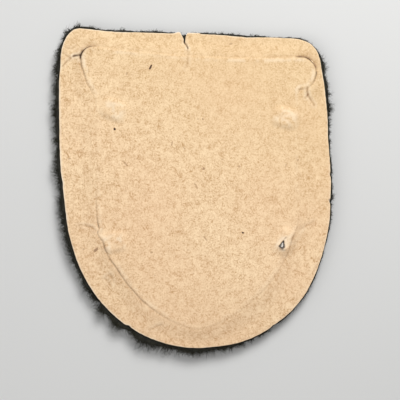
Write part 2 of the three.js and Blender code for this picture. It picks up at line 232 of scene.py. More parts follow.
@dataclass(frozen=True)
class AgedCard:
    """Tan pulp card: mottled, full of short fibres, soiled and painted with shade in its creases and along
    the plate's edge, painted with shadow round the tear, and rubbed on top.
    """

    light: tuple = (0.95, 0.72, 0.46)
    base: tuple = (0.81, 0.58, 0.352)
    dark: tuple = (0.49, 0.275, 0.115)
    warm: tuple = (0.80, 0.50, 0.30)
    yellow: tuple = (0.66, 0.47, 0.23)
    bark: tuple = (0.42, 0.25, 0.135)
    # Near black for the darkest shreds in the pulp, also the painted shadow round the tear.
    shred_and_shadow: tuple = (0.05, 0.022, 0.010)
    rubbed: tuple = (0.95, 0.79, 0.58)
    torn: tuple = (0.96, 0.82, 0.64)
    # Dirt and dark specks, also the painted shade along the plate's edge and in the creases.
    soil_and_shade: tuple = (0.38, 0.215, 0.105)
    # Near black for cracks, also the painted shadow round the tear and on the walls of its hole.
    crack_and_shadow: tuple = (0.060, 0.030, 0.014)
    fibre_turns: tuple = (0.30, 0.95, 1.55, 2.15, 2.85)
    dark_mean: float = 0.38
    light_mean: float = 0.62

    def fibres(self, graph: Graph, shift: float, pick: str) -> Value:
        """Return thin curly streaks that run in several directions.

        Args:
            graph: The material's graph.
            shift: Added to every direction, so that two sets differ.
            pick: MINIMUM or MAXIMUM, how the directions are joined.

        Returns:
            The joined noises.
        """
        streaks = [graph.noise((0.75, 3.9, 1.0), turn + shift, 1.0, 0.5) for turn in self.fibre_turns]
        joined = streaks[0]
        for streak in streaks[1:]:
            joined = graph.node("ShaderNodeMath", {"operation": pick}, {0: joined, 1: streak})
        return joined

    def specks(self, graph: Graph) -> Value:
        """Return small dark spots, one in the middle of some cells of a mosaic.

        Args:
            graph: The graph to add the nodes to.

        Returns:
            How strongly a speck shows.
        """
        sockets = {"Vector": graph.place((0.55, 0.75, 0.65), 0.5), "Scale": 1.0}
        away = graph.node("ShaderNodeTexVoronoi", {}, sockets, "Distance")
        chosen = graph.node("ShaderNodeTexVoronoi", {}, sockets, "Color")
        size = (graph.node("ShaderNodeSeparateColor", {}, {0: chosen}) - 0.55) * 0.36
        return (1.0 - away / (size + 0.001)).clamp() * size.ramp(0.0, 0.01)

    def flecks(self, graph: Graph) -> Value:
        """Return the dark flecks, each an ellipse whose rim a noise makes ragged: shreds in the pulp, and
        painted shadow round the tear.

        Args:
            graph: The graph to add the nodes to.

        Returns:
            How strongly a fleck shows.
        """
        ragged = graph.noise((3.0, 3.0, 3.0), 0.8, 1.0)
        here = graph.place((1.0, 1.0, 1.0))
        total = ragged * 0.0
        for fleck in FLECKS:
            settings = {"vector_type": "TEXTURE"}
            turn = math.radians(fleck.angle)
            sockets = {0: here, 1: (fleck.x, fleck.y, 0), 2: (0, 0, turn), 3: (fleck.long, fleck.wide, 100)}
            local = graph.node("ShaderNodeMapping", settings, sockets)
            away = graph.node("ShaderNodeVectorMath", {"operation": "LENGTH"}, {0: local}, "Value")
            total = total + (1.0 - (away + ragged - 0.5).ramp(0.55, 1.15)) * fleck.strength
        return total.clamp()

    def material(self) -> bpy.types.Material:
        """Build the material, which reads the card's own attributes of dirt, rubbing and tearing, painted
        shade and painted shadow.
        """
        graph = Graph("aged_card")
        dark_fibres = self.fibres(graph, 0.0, "MINIMUM")
        light_fibres = self.fibres(graph, 0.3, "MAXIMUM")
        grain = graph.noise((2.5, 2.5, 2.5), 0.0, 1.0)
        lumps = graph.noise((0.55, 0.55, 0.55), 0.2, 2.0)
        cloudy = graph.noise((0.07, 0.07, 0.07), 0.4, 2.0)
        warmth = graph.noise((0.045, 0.045, 0.045), 1.4, 1.0)
        tone = (grain - 0.5) * 1.5 + (lumps - 0.5) * 1.35 + (cloudy - 0.5) * 0.3
        tone = (tone + (dark_fibres - self.dark_mean) * 3.4 + (light_fibres - self.light_mean) * 2.4) * 1.12
        color = graph.mix((tone * -0.95).clamp(), self.base, self.dark)
        color = graph.mix((tone * 1.25).clamp(), color, self.light)
        color = graph.mix(warmth.ramp(0.35, 0.75) * 0.25, color, self.warm)
        color = graph.mix(self.specks(graph).ramp(0.0, 0.7) * 0.55, color, self.soil_and_shade)
        color = graph.mix(graph.attribute("yellowed") * 0.38, color, self.yellow)
        flecks = self.flecks(graph)
        # Flecks of pulp; the darkest, round the tear, are painted shadow.
        color = graph.mix((flecks * 1.5).clamp(), color, self.bark)
        color = graph.mix((flecks * 2.0 - 1.0).clamp(), color, self.shred_and_shadow)
        # Dirt with painted shade, then rubbing, torn fibres, and cracks with painted shadow round the tear.
        color = graph.mix(graph.attribute("soil_and_shade"), color, self.soil_and_shade)
        color = graph.mix(graph.attribute("rub"), color, self.rubbed)
        color = graph.mix(graph.attribute("torn"), color, self.torn)
        color = graph.mix(graph.attribute("crack_and_shadow"), color, self.crack_and_shadow)
        height = grain * 0.4 + dark_fibres * 0.5 + light_fibres * 0.5
        return graph.finish(
            Base_Color=color,
            Roughness=0.86 - graph.attribute("rub") * 0.2,
            Normal=graph.bump(height, 0.05),
        )


@dataclass(frozen=True)
class FeltedWool:
    """Dark grey-green felted wool, with lighter hairs among the dark ones."""

    name: str = "felted_wool"
    dark: tuple = (0.006, 0.0058, 0.0034)
    light: tuple = (0.041, 0.039, 0.024)

    def material(self) -> bpy.types.Material:
        """Build the felt: matted hairs as stretched noises over soft lumps."""
        graph = Graph(self.name)
        one = graph.noise((1.5, 9.0, 3.0), 0.5, 3.0)
        other = graph.noise((1.5, 9.0, 3.0), 2.0, 3.0)
        lumps = graph.noise((1.1, 1.1, 1.1), 0.0, 2.0)
        hairs = one * other * 2.0 + lumps * 0.5
        color = graph.mix(hairs.ramp(0.45, 1.15), self.dark, self.light)
        return graph.finish(
            Base_Color=color,
            Roughness=0.95,
            Specular_IOR_Level=0.25,
            Normal=graph.bump(hairs, 0.25),
            Sheen_Weight=0.1,
            Sheen_Roughness=0.6,
        )


@dataclass(frozen=True)
class WoolHair:
    """The loose hairs of the torn edge, each with a tone of its own."""

    dark: tuple = (0.007, 0.0066, 0.0038)
    light: tuple = (0.072, 0.068, 0.042)

    def material(self) -> bpy.types.Material:
        """Build the material, which reads each hair's tone."""
        graph = Graph("wool_hair")
        tone = graph.attribute("tone")
        color = graph.mix(tone, self.dark, self.light)
        return graph.finish(Base_Color=color, Roughness=0.8, Specular_IOR_Level=0.3)


@dataclass(frozen=True)
class StampedMetal:
    """Dull grey sheet metal: a pebbled field, tarnish in the low places, edges rubbed bright, a painted glint
    and painted shadow.
    """

    name: str = "stamped_metal"
    tarnish: tuple = (0.085, 0.085, 0.062)
    clean: tuple = (0.36, 0.35, 0.32)
    # The bright colour serves both rubbed edges and a painted glint; the near-black one is painted shadow.
    worn: tuple = (0.60, 0.58, 0.53)
    grime: tuple = (0.018, 0.012, 0.008)
    pebble: float = 0.05

    def material(self) -> bpy.types.Material:
        """Build the material, which reads how rubbed each point is, with its painted glint, and how much
        painted shadow it takes.
        """
        graph = Graph(self.name)
        grain = graph.noise((1.9, 1.9, 1.9), 0.0, 3.0)
        scratch = graph.noise((0.5, 7.0, 2.0), 0.9, 3.0)
        # Rubbing and the painted glint brighten, painted shadow darkens and dulls.
        worn = graph.attribute("worn")
        patina = (grain * 0.6 + scratch * 0.5).ramp(0.35, 0.75)
        color = graph.mix(patina, self.tarnish, self.clean)
        color = graph.mix(worn, color, self.worn)
        color = graph.mix(graph.attribute("grime"), color, self.grime)
        return graph.finish(
            Base_Color=color,
            Metallic=0.85 - (graph.attribute("grime") + worn).clamp() * 0.75,
            Roughness=0.55 - worn * 0.10,
            Normal=graph.bump(grain, self.pebble),
        )


@dataclass(frozen=True)
class PaleFloor:
    """A plain pale tabletop."""

    color: tuple = (0.66, 0.66, 0.65)

    def material(self) -> bpy.types.Material:
        """Build the material."""
        graph = Graph("pale_floor")
        cloud = graph.noise((0.01, 0.01, 0.01), 0.0, 1.0)
        shade = tuple(c * 0.97 for c in self.color)
        return graph.finish(Base_Color=graph.mix(cloud, shade, self.color), Roughness=0.7)


# ---------------------------------------------------------------- shapes by formula


def smooth(t: Array) -> Array:
    """Return the smooth step 3t^2 - 2t^3 of t held between 0 and 1."""
    held = np.clip(t, 0.0, 1.0)
    return held * held * (3 - 2 * held)


def bell(t: Array) -> Array:
    """Return the bell curve exp(-t^2)."""
    return np.exp(-t * t)


def mottle(x: Array, y: Array, cell: float, seed: int) -> Array:
    """Smooth noise between -1 and 1.

    Random heights stand on a square lattice of side cell, and smooth steps blend the four
    round each point.

    Args:
        x: Places along X.
        y: Places along Y.
        cell: The lattice's side.
        seed: Which noise.

    Returns:
        One height for each place.
    """
    size = 97
    lattice = np.random.default_rng(seed).uniform(-1, 1, (size, size))
    u, v = np.asarray(x) / cell, np.asarray(y) / cell
    i, j = np.floor(u).astype(int), np.floor(v).astype(int)
    a, b = smooth(u - i), smooth(v - j)
    low = lattice[i % size, j % size] * (1 - a) + lattice[(i + 1) % size, j % size] * a
    high = lattice[i % size, (j + 1) % size] * (1 - a) + lattice[(i + 1) % size, (j + 1) % size] * a
    return low * (1 - b) + high * b


def seam(turn: Array) -> Array:
    """Return 0 where an outline starts and ends, and 1 away from there."""
    return smooth(np.minimum(turn, 1 - turn) / 0.012)


def ogive(half_width: float, rise: float, power: float, up: Array) -> Array:
    """Half width of a superellipse at heights above its foot, full from the height rise."""
    below = np.clip(1 - up / rise, 0, None)
    return half_width * np.clip(1 - below**power, 0, None) ** (1 / power)


def stops(turn: Array, table: tuple[tuple[float, float], ...]) -> Array:
    """Return a value at these turns, straight between the stops of a table."""
    at, value = np.array(table).T
    return np.interp(turn, at, value)


@dataclass(frozen=True)
class Corner:
    """The top corner of one side: a quarter ellipse that ends at the height top_up."""

    wide: float
    high: float
    top_up: float

    def run(self, width_at: Callable[[Array], Array]) -> tuple[Array, Array]:
        """One side, seen with x outwards.

        Args:
            width_at: Half width at heights above the foot.

        Returns:
            The run from the foot to the middle of the corner, and the rest of the corner.
        """
        up = (self.top_up - self.high) * np.linspace(0, 1, 500) ** 1.7
        side = np.column_stack([width_at(up), up])
        turn = np.linspace(0, np.pi / 2, 81)
        quarter = np.column_stack([-self.wide * (1 - np.cos(turn)), self.high * np.sin(turn)])
        corner = side[-1] + quarter
        return np.vstack([side, corner[1:41]]), corner[40:]


@dataclass(frozen=True)
class Outline:
    """A closed run of points, counter-clockwise from the foot, evenly spaced by turn.

    A turn of 3/8 is the top right corner and 5/8 the top left one, so that places with the
    same turn on two outlines face each other.
    """

    points: Array

    @classmethod
    def joined(cls, right: Array, top: Array, left: Array, count: int = 2400) -> Outline:
        """Join three runs, each spread evenly over its own range of turns.

        Args:
            right: The right side, from the foot.
            top: The top edge, from the right.
            left: The left side, from the top.
            count: How many points the outline gets.

        Returns:
            The outline.
        """
        turn = np.arange(count) / count
        found = np.zeros((count, 2))
        for run, first, last in ((right, 0, 3 / 8), (top, 3 / 8, 5 / 8), (left, 5 / 8, 1)):
            legs = np.hypot(*np.diff(run, axis=0).T)
            along = first + (last - first) * np.r_[0, np.cumsum(legs)] / legs.sum()
            here = (turn >= first) & (turn < last)
            for axis in (0, 1):
                found[here, axis] = np.interp(turn[here], along, run[:, axis])
        return cls(found)

    @classmethod
    def shield(
        cls, right: tuple, left: tuple, sag: float, sag_at: float = 0.5, notch: Callable | None = None
    ) -> Outline:
        """Join two sides by a top edge that sags in its middle.

        Args:
            right: The right side's two runs, as Corner.run gives them.
            left: The left side's, with x outwards.
            sag: How far the top edge dips.
            sag_at: Where along the top edge, from right to left, it dips most.
            notch: What is cut from the top edge, as a depth at each x.

        Returns:
            The outline.
        """
        mirror = np.array([-1, 1])
        t = np.linspace(0, 1, 2200)[1:-1]
        start, end = right[1][-1], left[1][-1] * mirror
        edge = start + t[:, None] * (end - start)
        edge[:, 1] -= sag * np.sin(np.pi * t ** (math.log(0.5) / math.log(sag_at)))
        if notch is not None:
            edge[:, 1] -= notch(edge[:, 0])
        top = np.vstack([right[1], edge, (left[1] * mirror)[::-1]])
        return cls.joined(right[0], top, (left[0] * mirror)[::-1])

    def at(self, turn: Array) -> Array:
        """Return the places at these turns.

        Args:
            turn: How far round each place lies, 0 to 1.

        Returns:
            The places.
        """
        steps = np.arange(len(self.points) + 1) / len(self.points)
        closed = np.vstack([self.points, self.points[:1]])
        wrapped = np.mod(turn, 1.0)
        return np.column_stack([np.interp(wrapped, steps, closed[:, axis]) for axis in (0, 1)])

    def normals(self, turn: Array) -> Array:
        """Return the outward unit normals, from the places a little before and after.

        Args:
            turn: How far round each place lies, 0 to 1.

        Returns:
            The unit normals, outwards.
        """
        step = 1.5 / len(self.points)
        along = self.at(turn + step) - self.at(turn - step)
        return np.column_stack([along[:, 1], -along[:, 0]]) / np.hypot(*along.T)[:, None]

    def moved(self, shift: tuple[float, float]) -> Outline:
        """Return the outline shifted."""
        return Outline(self.points + np.array(shift))

    def turned(self, angle: float) -> Outline:
        """Return the outline turned about the origin."""
        c, s = math.cos(angle), math.sin(angle)
        return Outline(self.points @ np.array([[c, s], [-s, c]]))

    def grown(self, by: Callable[[Array, Array], Array] | float) -> Outline:
        """Return the outline moved out along its normals, by a distance at each place.

        Args:
            by: The distance, or a function of the turns and the places.

        Returns:
            The new outline.
        """
        turn = np.arange(len(self.points)) / len(self.points)
        amount = by(turn, self.points) if callable(by) else np.full(len(turn), by)
        return Outline(self.points + self.normals(turn) * amount[:, None])

    def without_lobes(self, left: float, right: float) -> Outline:
        """Return the outline with everything past two upright lines pressed onto them."""
        x, y = self.points.T
        return Outline(np.column_stack([np.clip(x, left, right), y]))

    def slid(self, table: tuple[tuple[float, float], ...]) -> Outline:
        """Return the same line with its points slid along it, by a table from turn to old turn."""
        turn = np.arange(len(self.points)) / len(self.points)
        return Outline(self.at(stops(turn, table)))

    def area(self) -> float:
        """Return the enclosed area, half the sum of the cross products round it."""
        x, y = self.points.T
        return 0.5 * float(np.sum(x * np.roll(y, -1) - np.roll(x, -1) * y))

    def depth(self, places: Array, turns: Array, inside: Array, stretch: int = 60) -> Array:
        """Signed distance to the outline, positive inside.

        Each place is measured against the stretch of the outline round its own turn. Close to
        the outline it lies inside where it is on the left of the nearest leg.

        Args:
            places: Points in plan.
            turns: Their turns.
            inside: Whether each lies inside, for those that are not close.
            stretch: How many of the outline's points to look at on both sides.

        Returns:
            The distances.
        """
        count = len(self.points)
        reach = np.arange(-stretch, stretch + 1, 2)
        found = np.zeros(len(places))
        for part in np.array_split(np.arange(len(places)), 1 + len(places) * len(reach) // 700000):
            near = (np.round(turns[part] * count).astype(int)[:, None] + reach) % count
            start = self.points[near]
            leg = self.points[(near + 2) % count] - start
            to = places[part][:, None, :] - start
            along = np.sum(to * leg, -1) / np.maximum(np.sum(leg * leg, -1), 1e-12)
            off = to - leg * np.clip(along, 0, 1)[..., None]
            away = np.sqrt(np.sum(off * off, -1))
            side = np.sign(leg[..., 0] * to[..., 1] - leg[..., 1] * to[..., 0])
            nearest = away.argmin(1)[:, None]
            away, side = (np.take_along_axis(a, nearest, 1)[:, 0] for a in (away, side))
            found[part] = away * np.where(away < 1.5, side, np.where(inside[part], 1, -1))
        return found


def path_distance(places: Array, path: Array) -> tuple[Array, Array]:
    """Distance to a run of straight legs.

    Args:
        places: Points in plan.
        path: The run's corners.

    Returns:
        The distance from each place, and how far along the run its nearest point lies, 0 to 1.
    """
    legs = np.diff(path, axis=0)
    lengths = np.hypot(*legs.T)
    before = np.r_[0, np.cumsum(lengths)[:-1]]
    nearest = np.full(len(places), np.inf)
    share = np.zeros(len(places))
    for start, leg, length, travelled in zip(path, legs, lengths, before):
        along = np.clip((places - start) @ leg / length**2, 0, 1)
        off = np.hypot(*(places - start - along[:, None] * leg).T)
        closer = off < nearest
        nearest = np.where(closer, off, nearest)
        share = np.where(closer, (travelled + along * length) / lengths.sum(), share)
    return nearest, share


# ---------------------------------------------------------------- meshes


@dataclass(frozen=True)
class SquareNet:
    """A square net of quads whose rings, square in the net, take the shape of an outline.

    Each point has a ring, 0 in the middle and rings at the rim, and a turn, which is how far
    round its ring it lies: a quarter of the way along the net's bottom row is the foot.
    """

    rings: int

    def points(self) -> tuple[Array, Array]:
        """Return the ring and the turn of every point of the net.

        With a and b the net's own coordinates from -r to r, the turn goes round in eighths:
        a/r along the bottom, 2 + b/r up the right side, 4 - a/r back along the top,
        6 - b/r down the left side and 8 + a/r back to the foot.
        """
        steps = np.arange(-self.rings, self.rings + 1)
        a, b = (g.ravel().astype(float) for g in np.meshgrid(steps, steps, indexing="ij"))
        ring = np.maximum(np.abs(a), np.abs(b))
        r = np.maximum(ring, 1)
        eighths = np.select(
            [(b == -ring) & (a >= 0), a == ring, b == ring, a == -ring],
            [a / r, 2 + b / r, 4 - a / r, 6 - b / r],
            8 + a / r,
        )
        return ring, np.mod(eighths / 8, 1.0)

    def blended(self, outline: Outline, crowding: float) -> Array:
        """Spread the net between the outline's four sides as a Coons patch.

        With s and t from 0 to 1 across and up, a place is (1-t) bottom + t top + (1-s) left
        + s right, less the corners blended the same way. Steps shrink towards the rim.

        Args:
            outline: The outline, whose corners lie at odd eighths of a turn.
            crowding: How much the steps shrink, 0 to 1.

        Returns:
            The place of every point of the net.
        """
        steps = np.arange(-self.rings, self.rings + 1) / self.rings
        steps = steps * (1 + crowding - crowding * np.abs(steps))
        a, b = (g.ravel() for g in np.meshgrid(steps, steps, indexing="ij"))
        s, t = (1 + a[:, None]) / 2, (1 + b[:, None]) / 2
        low_left, low_right, high_right, high_left = outline.at(np.array([7, 1, 3, 5]) / 8)
        sides = (1 - t) * outline.at(a / 8) + t * outline.at((4 - a) / 8)
        sides += (1 - s) * outline.at((6 - b) / 8) + s * outline.at((2 + b) / 8)
        corners = (1 - t) * ((1 - s) * low_left + s * low_right) + t * ((1 - s) * high_left + s * high_right)
        return sides - corners

    def rim(self) -> Array:
        """Return the numbers of the rim's points, counter-clockwise from the foot."""
        side = 2 * self.rings + 1
        grid = np.arange(side * side).reshape(side, side)
        runs = [
            grid[self.rings : -1, 0],
            grid[-1, :-1],
            grid[:0:-1, -1],
            grid[0, :0:-1],
            grid[: self.rings, 0],
        ]
        return np.concatenate(runs)

    def rim_turns(self) -> Array:
        """Return the turns of the rim's points."""
        return np.arange(8 * self.rings) / (8 * self.rings)

    def quads(self) -> Array:
        """Return the net's faces, each counter-clockwise from above."""
        side = 2 * self.rings + 1
        grid = np.arange(side * side).reshape(side, side)
        corners = (grid[:-1, :-1], grid[1:, :-1], grid[1:, 1:], grid[:-1, 1:])
        return np.stack([c.ravel() for c in corners], axis=1)

    def closed(self, name: str, top: Array, under: list[Array], upside_down: bool = False) -> Piece:
        """Close the net below by rings of points that run inwards to a hub.

        Args:
            name: The piece's name.
            top: The place of every point of the net.
            under: Rings below it, each with a place for every rim point, outermost first.
            upside_down: Whether the net is the lower side and the rings the upper one.

        Returns:
            The piece, with the net's points first.
        """
        count = 8 * self.rings
        numbers = [self.rim()] + [len(top) + k * count + np.arange(count) for k in range(len(under))]
        hub = len(top) + len(under) * count
        places = np.vstack([top, *under, under[-1].mean(0)])
        walls = [
            np.stack([up, down, np.roll(down, -1), np.roll(up, -1)], axis=1)
            for up, down in zip(numbers[:-1], numbers[1:])
        ]
        last = numbers[-1]
        fan = np.stack([last, np.full(count, hub), np.roll(last, -1)], axis=1)
        faces = [np.vstack([self.quads(), *walls]), fan]
        if upside_down:
            faces = [group[:, ::-1] for group in faces]
        return Piece.from_faces(name, places, faces)


@dataclass
class Piece:
    """A Blender mesh object made from arrays."""

    thing: bpy.types.Object

    @classmethod
    def from_faces(cls, name: str, places: Array, faces: list[Array]) -> Piece:
        """Make a smooth-shaded mesh object.

        Args:
            name: Its name.
            places: Vertices in millimetres.
            faces: Groups of faces, each an array with one row for each face.

        Returns:
            The piece, linked to the scene.
        """
        mesh = bpy.data.meshes.new(name)
        rows = [row for group in faces for row in group.tolist()]
        mesh.from_pydata((places * MM).tolist(), [], rows)
        mesh.shade_smooth()
        mesh.update()
        thing = bpy.data.objects.new(name, mesh)
        bpy.context.scene.collection.objects.link(thing)
        return cls(thing)

    def store(self, **values: Array) -> None:
        """Store a number at each point, padded with 0 for points past the end."""
        for name, numbers in values.items():
            kept = np.zeros(len(self.thing.data.vertices), np.float32)
            kept[: len(numbers)] = numbers
            layer = self.thing.data.attributes.new(name, "FLOAT", "POINT")
            layer.data.foreach_set("value", kept)

    def keep_edges(self, angle: float) -> None:
        """Keep edges sharper than an angle in degrees crisp."""
        self.thing.data.set_sharp_from_angle(angle=math.radians(angle))

    def dress(self, material: bpy.types.Material, slot: str, *nodes: str) -> None:
        """Give the piece its finish, its body and the nodes that it stands for.

        Args:
            material: The finish.
            slot: The record's material slot; not used.
            *nodes: The nodes that it stands for.
        """
        self.thing.data.materials.append(material)
        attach(self.thing, "root")
        if nodes:
            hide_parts(*nodes)
        LOG.info("%s: %d faces", self.thing.name, len(self.thing.data.polygons))


# ---------------------------------------------------------------- outlines of this shield


@dataclass(frozen=True)
class Levels:
    """Heights of the layers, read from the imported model, in millimetres."""

    cloth_low: float
    cloth_high: float
    plate_high: float
    card_low: float
    shield_high: float

    @property
    def tip_rise(self) -> float:
        """Return how far the tip of the prong through the card rises over its tab."""
        return self.shield_high - self.plate_high - 0.55

    @classmethod
    def from_frame(cls) -> Levels:
        """Read the layers' boxes."""
        boxes = {name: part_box(name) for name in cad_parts}
        return cls(
            cloth_low=boxes["cloth_backing"][0].z / MM,
            cloth_high=boxes["cloth_backing"][1].z / MM,
            plate_high=boxes["backing_plate"][1].z / MM,
            card_low=boxes["cover_paper"][0].z / MM,
            shield_high=boxes["front_shield"][1].z / MM,
        )


LOBE_POWER = 2.6  # how square a round lobe's shoulder is; 2 would be a circle's


@dataclass(frozen=True)
class LobedForm:
    """A shield with an ogive foot, upright sides and a lobe at each end of its top edge."""

    half_body: float
    body_up: float
    power: float
    half_lobes: tuple[float, float]
    lobe_feet: tuple[float, float]
    lobe_ups: tuple[float, float]
    tops: tuple[float, float]
    corner: float
    sag: float
    round_right: bool = False

    def outline(self) -> Outline:
        """Return the outline from its own foot; each pair holds the right side first."""
        return Outline.shield(self.side(0), self.side(1), self.sag)

    def side(self, k: int) -> tuple[Array, Array]:
        """Return one side's run and corner: 0 is the right side, 1 the left."""
        corner = Corner(self.corner, self.corner, self.tops[k])
        return corner.run(lambda up: self.width_at(k, up))

    def width_at(self, k: int, up: Array) -> Array:
        """Half width of one side: the body's ogive and the lobe's swell.

        A lobe swells by a smooth step, or by a quarter round where it is round.

        Args:
            k: 0 for the right side, 1 for the left.
            up: Heights above the foot.

        Returns:
            The half widths.
        """
        rise = (up - self.lobe_feet[k]) / (self.lobe_ups[k] - self.lobe_feet[k])
        quarter = (1 - (1 - np.clip(rise, 0, 1)) ** LOBE_POWER) ** (1 / LOBE_POWER)
        swell = quarter if self.round_right and k == 0 else smooth(rise)
        lobe = (self.half_lobes[k] - self.half_body) * swell
        return ogive(self.half_body, self.body_up, self.power, up) + lobe

    def grown(self, by: float) -> LobedForm:
        """Return the same form, larger all round; its foot drops 1.15 times as far.

        Args:
            by: How much larger, in millimetres.

        Returns:
            The new form.
        """
        drop = 1.15 * by
        return LobedForm(
            self.half_body + by,
            self.body_up + drop,
            self.power,
            tuple(h + by for h in self.half_lobes),
            tuple(f + drop - 0.4 * by for f in self.lobe_feet),
            tuple(u + drop - 0.4 * by for u in self.lobe_ups),
            tuple(t + drop + by for t in self.tops),
            self.corner + 0.5 * by,
            self.sag,
        )


PRESSED_FOOT = (0.94, -30.67)
PRESSED = LobedForm(22.2, 22.9, 1.55, (25.85, 25.8), (52.7, 49.2), (57.2, 57.6), (59.3, 61.7), 3.4, 0.9, True)
NET_LINE = LobedForm(22.2, 22.9, 1.55, (25.35, 25.8), (50.2, 49.2), (58.8, 57.6), (59.3, 61.7), 3.4, 0.9)
METAL_FOOT = (1.0, -30.05)
METAL = LobedForm(21.5, 21.5, 1.55, (25.3, 25.3), (51.4, 51.4), (54.0, 54.0), (58.7, 58.7), 3.2, 0.0)
METAL_TURN = math.radians(-1.2)
SHIELD_OVERHANG = 0.5


def metal_outline(by: float) -> Outline:
    """Return the outline of the sheet metal, larger than the backing plate by a distance."""
    foot = (METAL_FOOT[0], METAL_FOOT[1] - 1.15 * by)
    return METAL.grown(by).outline().moved(foot).turned(METAL_TURN)


@dataclass(frozen=True)
class Nick:
    """A small dent in the card's cut edge."""

    x: float
    y: float
    depth: float
    width: float


@dataclass(frozen=True)
class CardShape:
    """The hand-cut card: a U with a straight top, its middle line leaning to the left."""

    half_width: float = 29.8
    belly_up: float = 39.6
    power: float = 2.2
    shoulder_up: float = 63.4
    taper: float = 1.21
    full_height: float = 70.4
    lean: float = 2.7
    lean_power: float = 1.6
    foot: tuple[float, float] = (1.49, -35.04)
    right: Corner = Corner(6.7, 5.4, 68.2)
    left: Corner = Corner(4.7, 8.1, 70.4)
    nicks: tuple[Nick, ...] = (
        Nick(30.2, 3.2, 0.16, 0.5),
        Nick(30.3, -2.8, 0.22, 0.35),
        Nick(-14.2, -30.4, 0.25, 0.5),
        Nick(-29.3, 1.2, 0.12, 0.8),
        Nick(-27.9, -8.4, 0.10, 0.7),
        Nick(17.5, -30.2, 0.12, 0.5),
    )
    # From the net's turn to the edge's own turn, so that the notch faces the net's rows.
    slide: tuple[tuple[float, float], ...] = (
        (0, 0), (0.375, 0.375), (0.516, 0.5037), (0.625, 0.625), (1, 1),
    )
    # How far the hand-cut edge strays outwards from its formula, by turn, in millimetres.
    wander: tuple[tuple[float, float], ...] = (
        (0.00, 0.07), (0.02, -0.12), (0.04, -0.05), (0.06, 0.07), (0.08, 0.14), (0.10, 0.47),
        (0.12, 0.56), (0.14, 0.45), (0.16, 0.38), (0.18, 0.30), (0.20, 0.22), (0.21, 0.05),
        (0.22, -0.12), (0.235, -0.08), (0.26, -0.10), (0.28, -0.24), (0.30, 0.05), (0.33, 0.20),
        (0.36, 0.06), (0.375, 0.38), (0.39, 0.10), (0.41, 0.0), (0.435, -0.24), (0.455, 0.12),
        (0.48, 0.25), (0.50, 0.22), (0.53, 0.25), (0.55, 0.07), (0.57, -0.08), (0.60, 0.02),
        (0.62, -0.20), (0.65, -0.24), (0.665, 0.0), (0.70, -0.10), (0.72, -0.05), (0.75, -0.24),
        (0.78, -0.35), (0.80, -0.23), (0.81, 0.03), (0.83, 0.12), (0.85, 0.35), (0.88, 0.34),
        (0.90, 0.27), (0.92, 0.20), (0.93, -0.02), (0.96, -0.08), (1.0, 0.07),
    )

    def half_width_at(self, up: Array) -> Array:
        """Return the half width: a superellipse below the belly, a parabola's taper above."""
        rise = np.clip((up - self.belly_up) / (self.shoulder_up - self.belly_up), 0, None)
        return ogive(self.half_width, self.belly_up, self.power, up) - self.taper * rise**2

    def notch(self, x: Array) -> Array:
        """Return the torn notch's depth: a slope on its left, almost upright on its right.

        Args:
            x: Places along the top edge.

        Returns:
            How deep the notch is at each.
        """
        own = x + self.foot[0] - self.lean
        across = [-3.20, -2.98, -2.56, -2.24, -2.09, -1.95, -1.82, -1.6, -1.25, -1.0]
        deep = [0, 0.1, 0.9, 1.6, 2.3, 1.6, 0.85, 0.2, 0.02, 0]
        flap = 0.38 * bell((own + 3.1) / 1.0) * (own < -1.95)
        tab = 0.22 * smooth((own + 1.7) / 0.5) * smooth((1.5 - own) / 0.35)
        return np.interp(own, across, deep) - flap - tab - 0.23 * bell((own + 2.0) / 1.4)

    def outline(self, torn: bool = True) -> Outline:
        """Return the cut edge: the formula, then its lean, its nicks and its roughness.

        Args:
            torn: Whether the notch is torn into it.

        Returns:
            The outline.
        """
        sides = [corner.run(self.half_width_at) for corner in (self.right, self.left)]
        plain = Outline.shield(*sides, 0.45, 0.72, self.notch if torn else None)
        x, y = plain.points.T
        lean = self.lean * (np.clip(y, 0, None) / self.full_height) ** self.lean_power
        placed = Outline(np.column_stack([x - lean + self.foot[0], y + self.foot[1]]))
        return placed.grown(self._roughness).slid(self.slide)

    def _roughness(self, turn: Array, places: Array) -> Array:
        """Return how far the edge stands out: slow and quick waves, less each nick's bell.

        Args:
            turn: The turns of the places.
            places: Points on the edge.

        Returns:
            How far each moves out.
        """
        length = 215.0 * turn
        waves = 0.10 * mottle(length, 0 * length, 7.0, 11) + 0.035 * mottle(length, 0 * length, 0.7, 12)
        out = stops(turn, self.wander) + seam(turn) * waves
        for nick in self.nicks:
            away = np.hypot(places[:, 0] - nick.x, places[:, 1] - nick.y)
            out -= nick.depth * bell(away / nick.width)
        return out * (1 - bell((places[:, 0] + 2.0) / 1.4) * (places[:, 1] > 0))


# ---------------------------------------------------------------- the cover card


class Wear(Enum):
    """What a crease does to the card."""

    CRACK = "open and dark"
    FOLD = "a soft brown line"


@dataclass(frozen=True)
class Crease:
    """A line where the card has broken or folded."""

    path: tuple[tuple[float, float], ...]
    kind: Wear
    width: float
    depth: float
    strength: float


@dataclass(frozen=True)
class Fleck:
    """A dark mark, a shred in the pulp or a spot of painted shadow, long across its own angle in degrees."""

    x: float
    y: float
    long: float
    wide: float
    angle: float
    strength: float


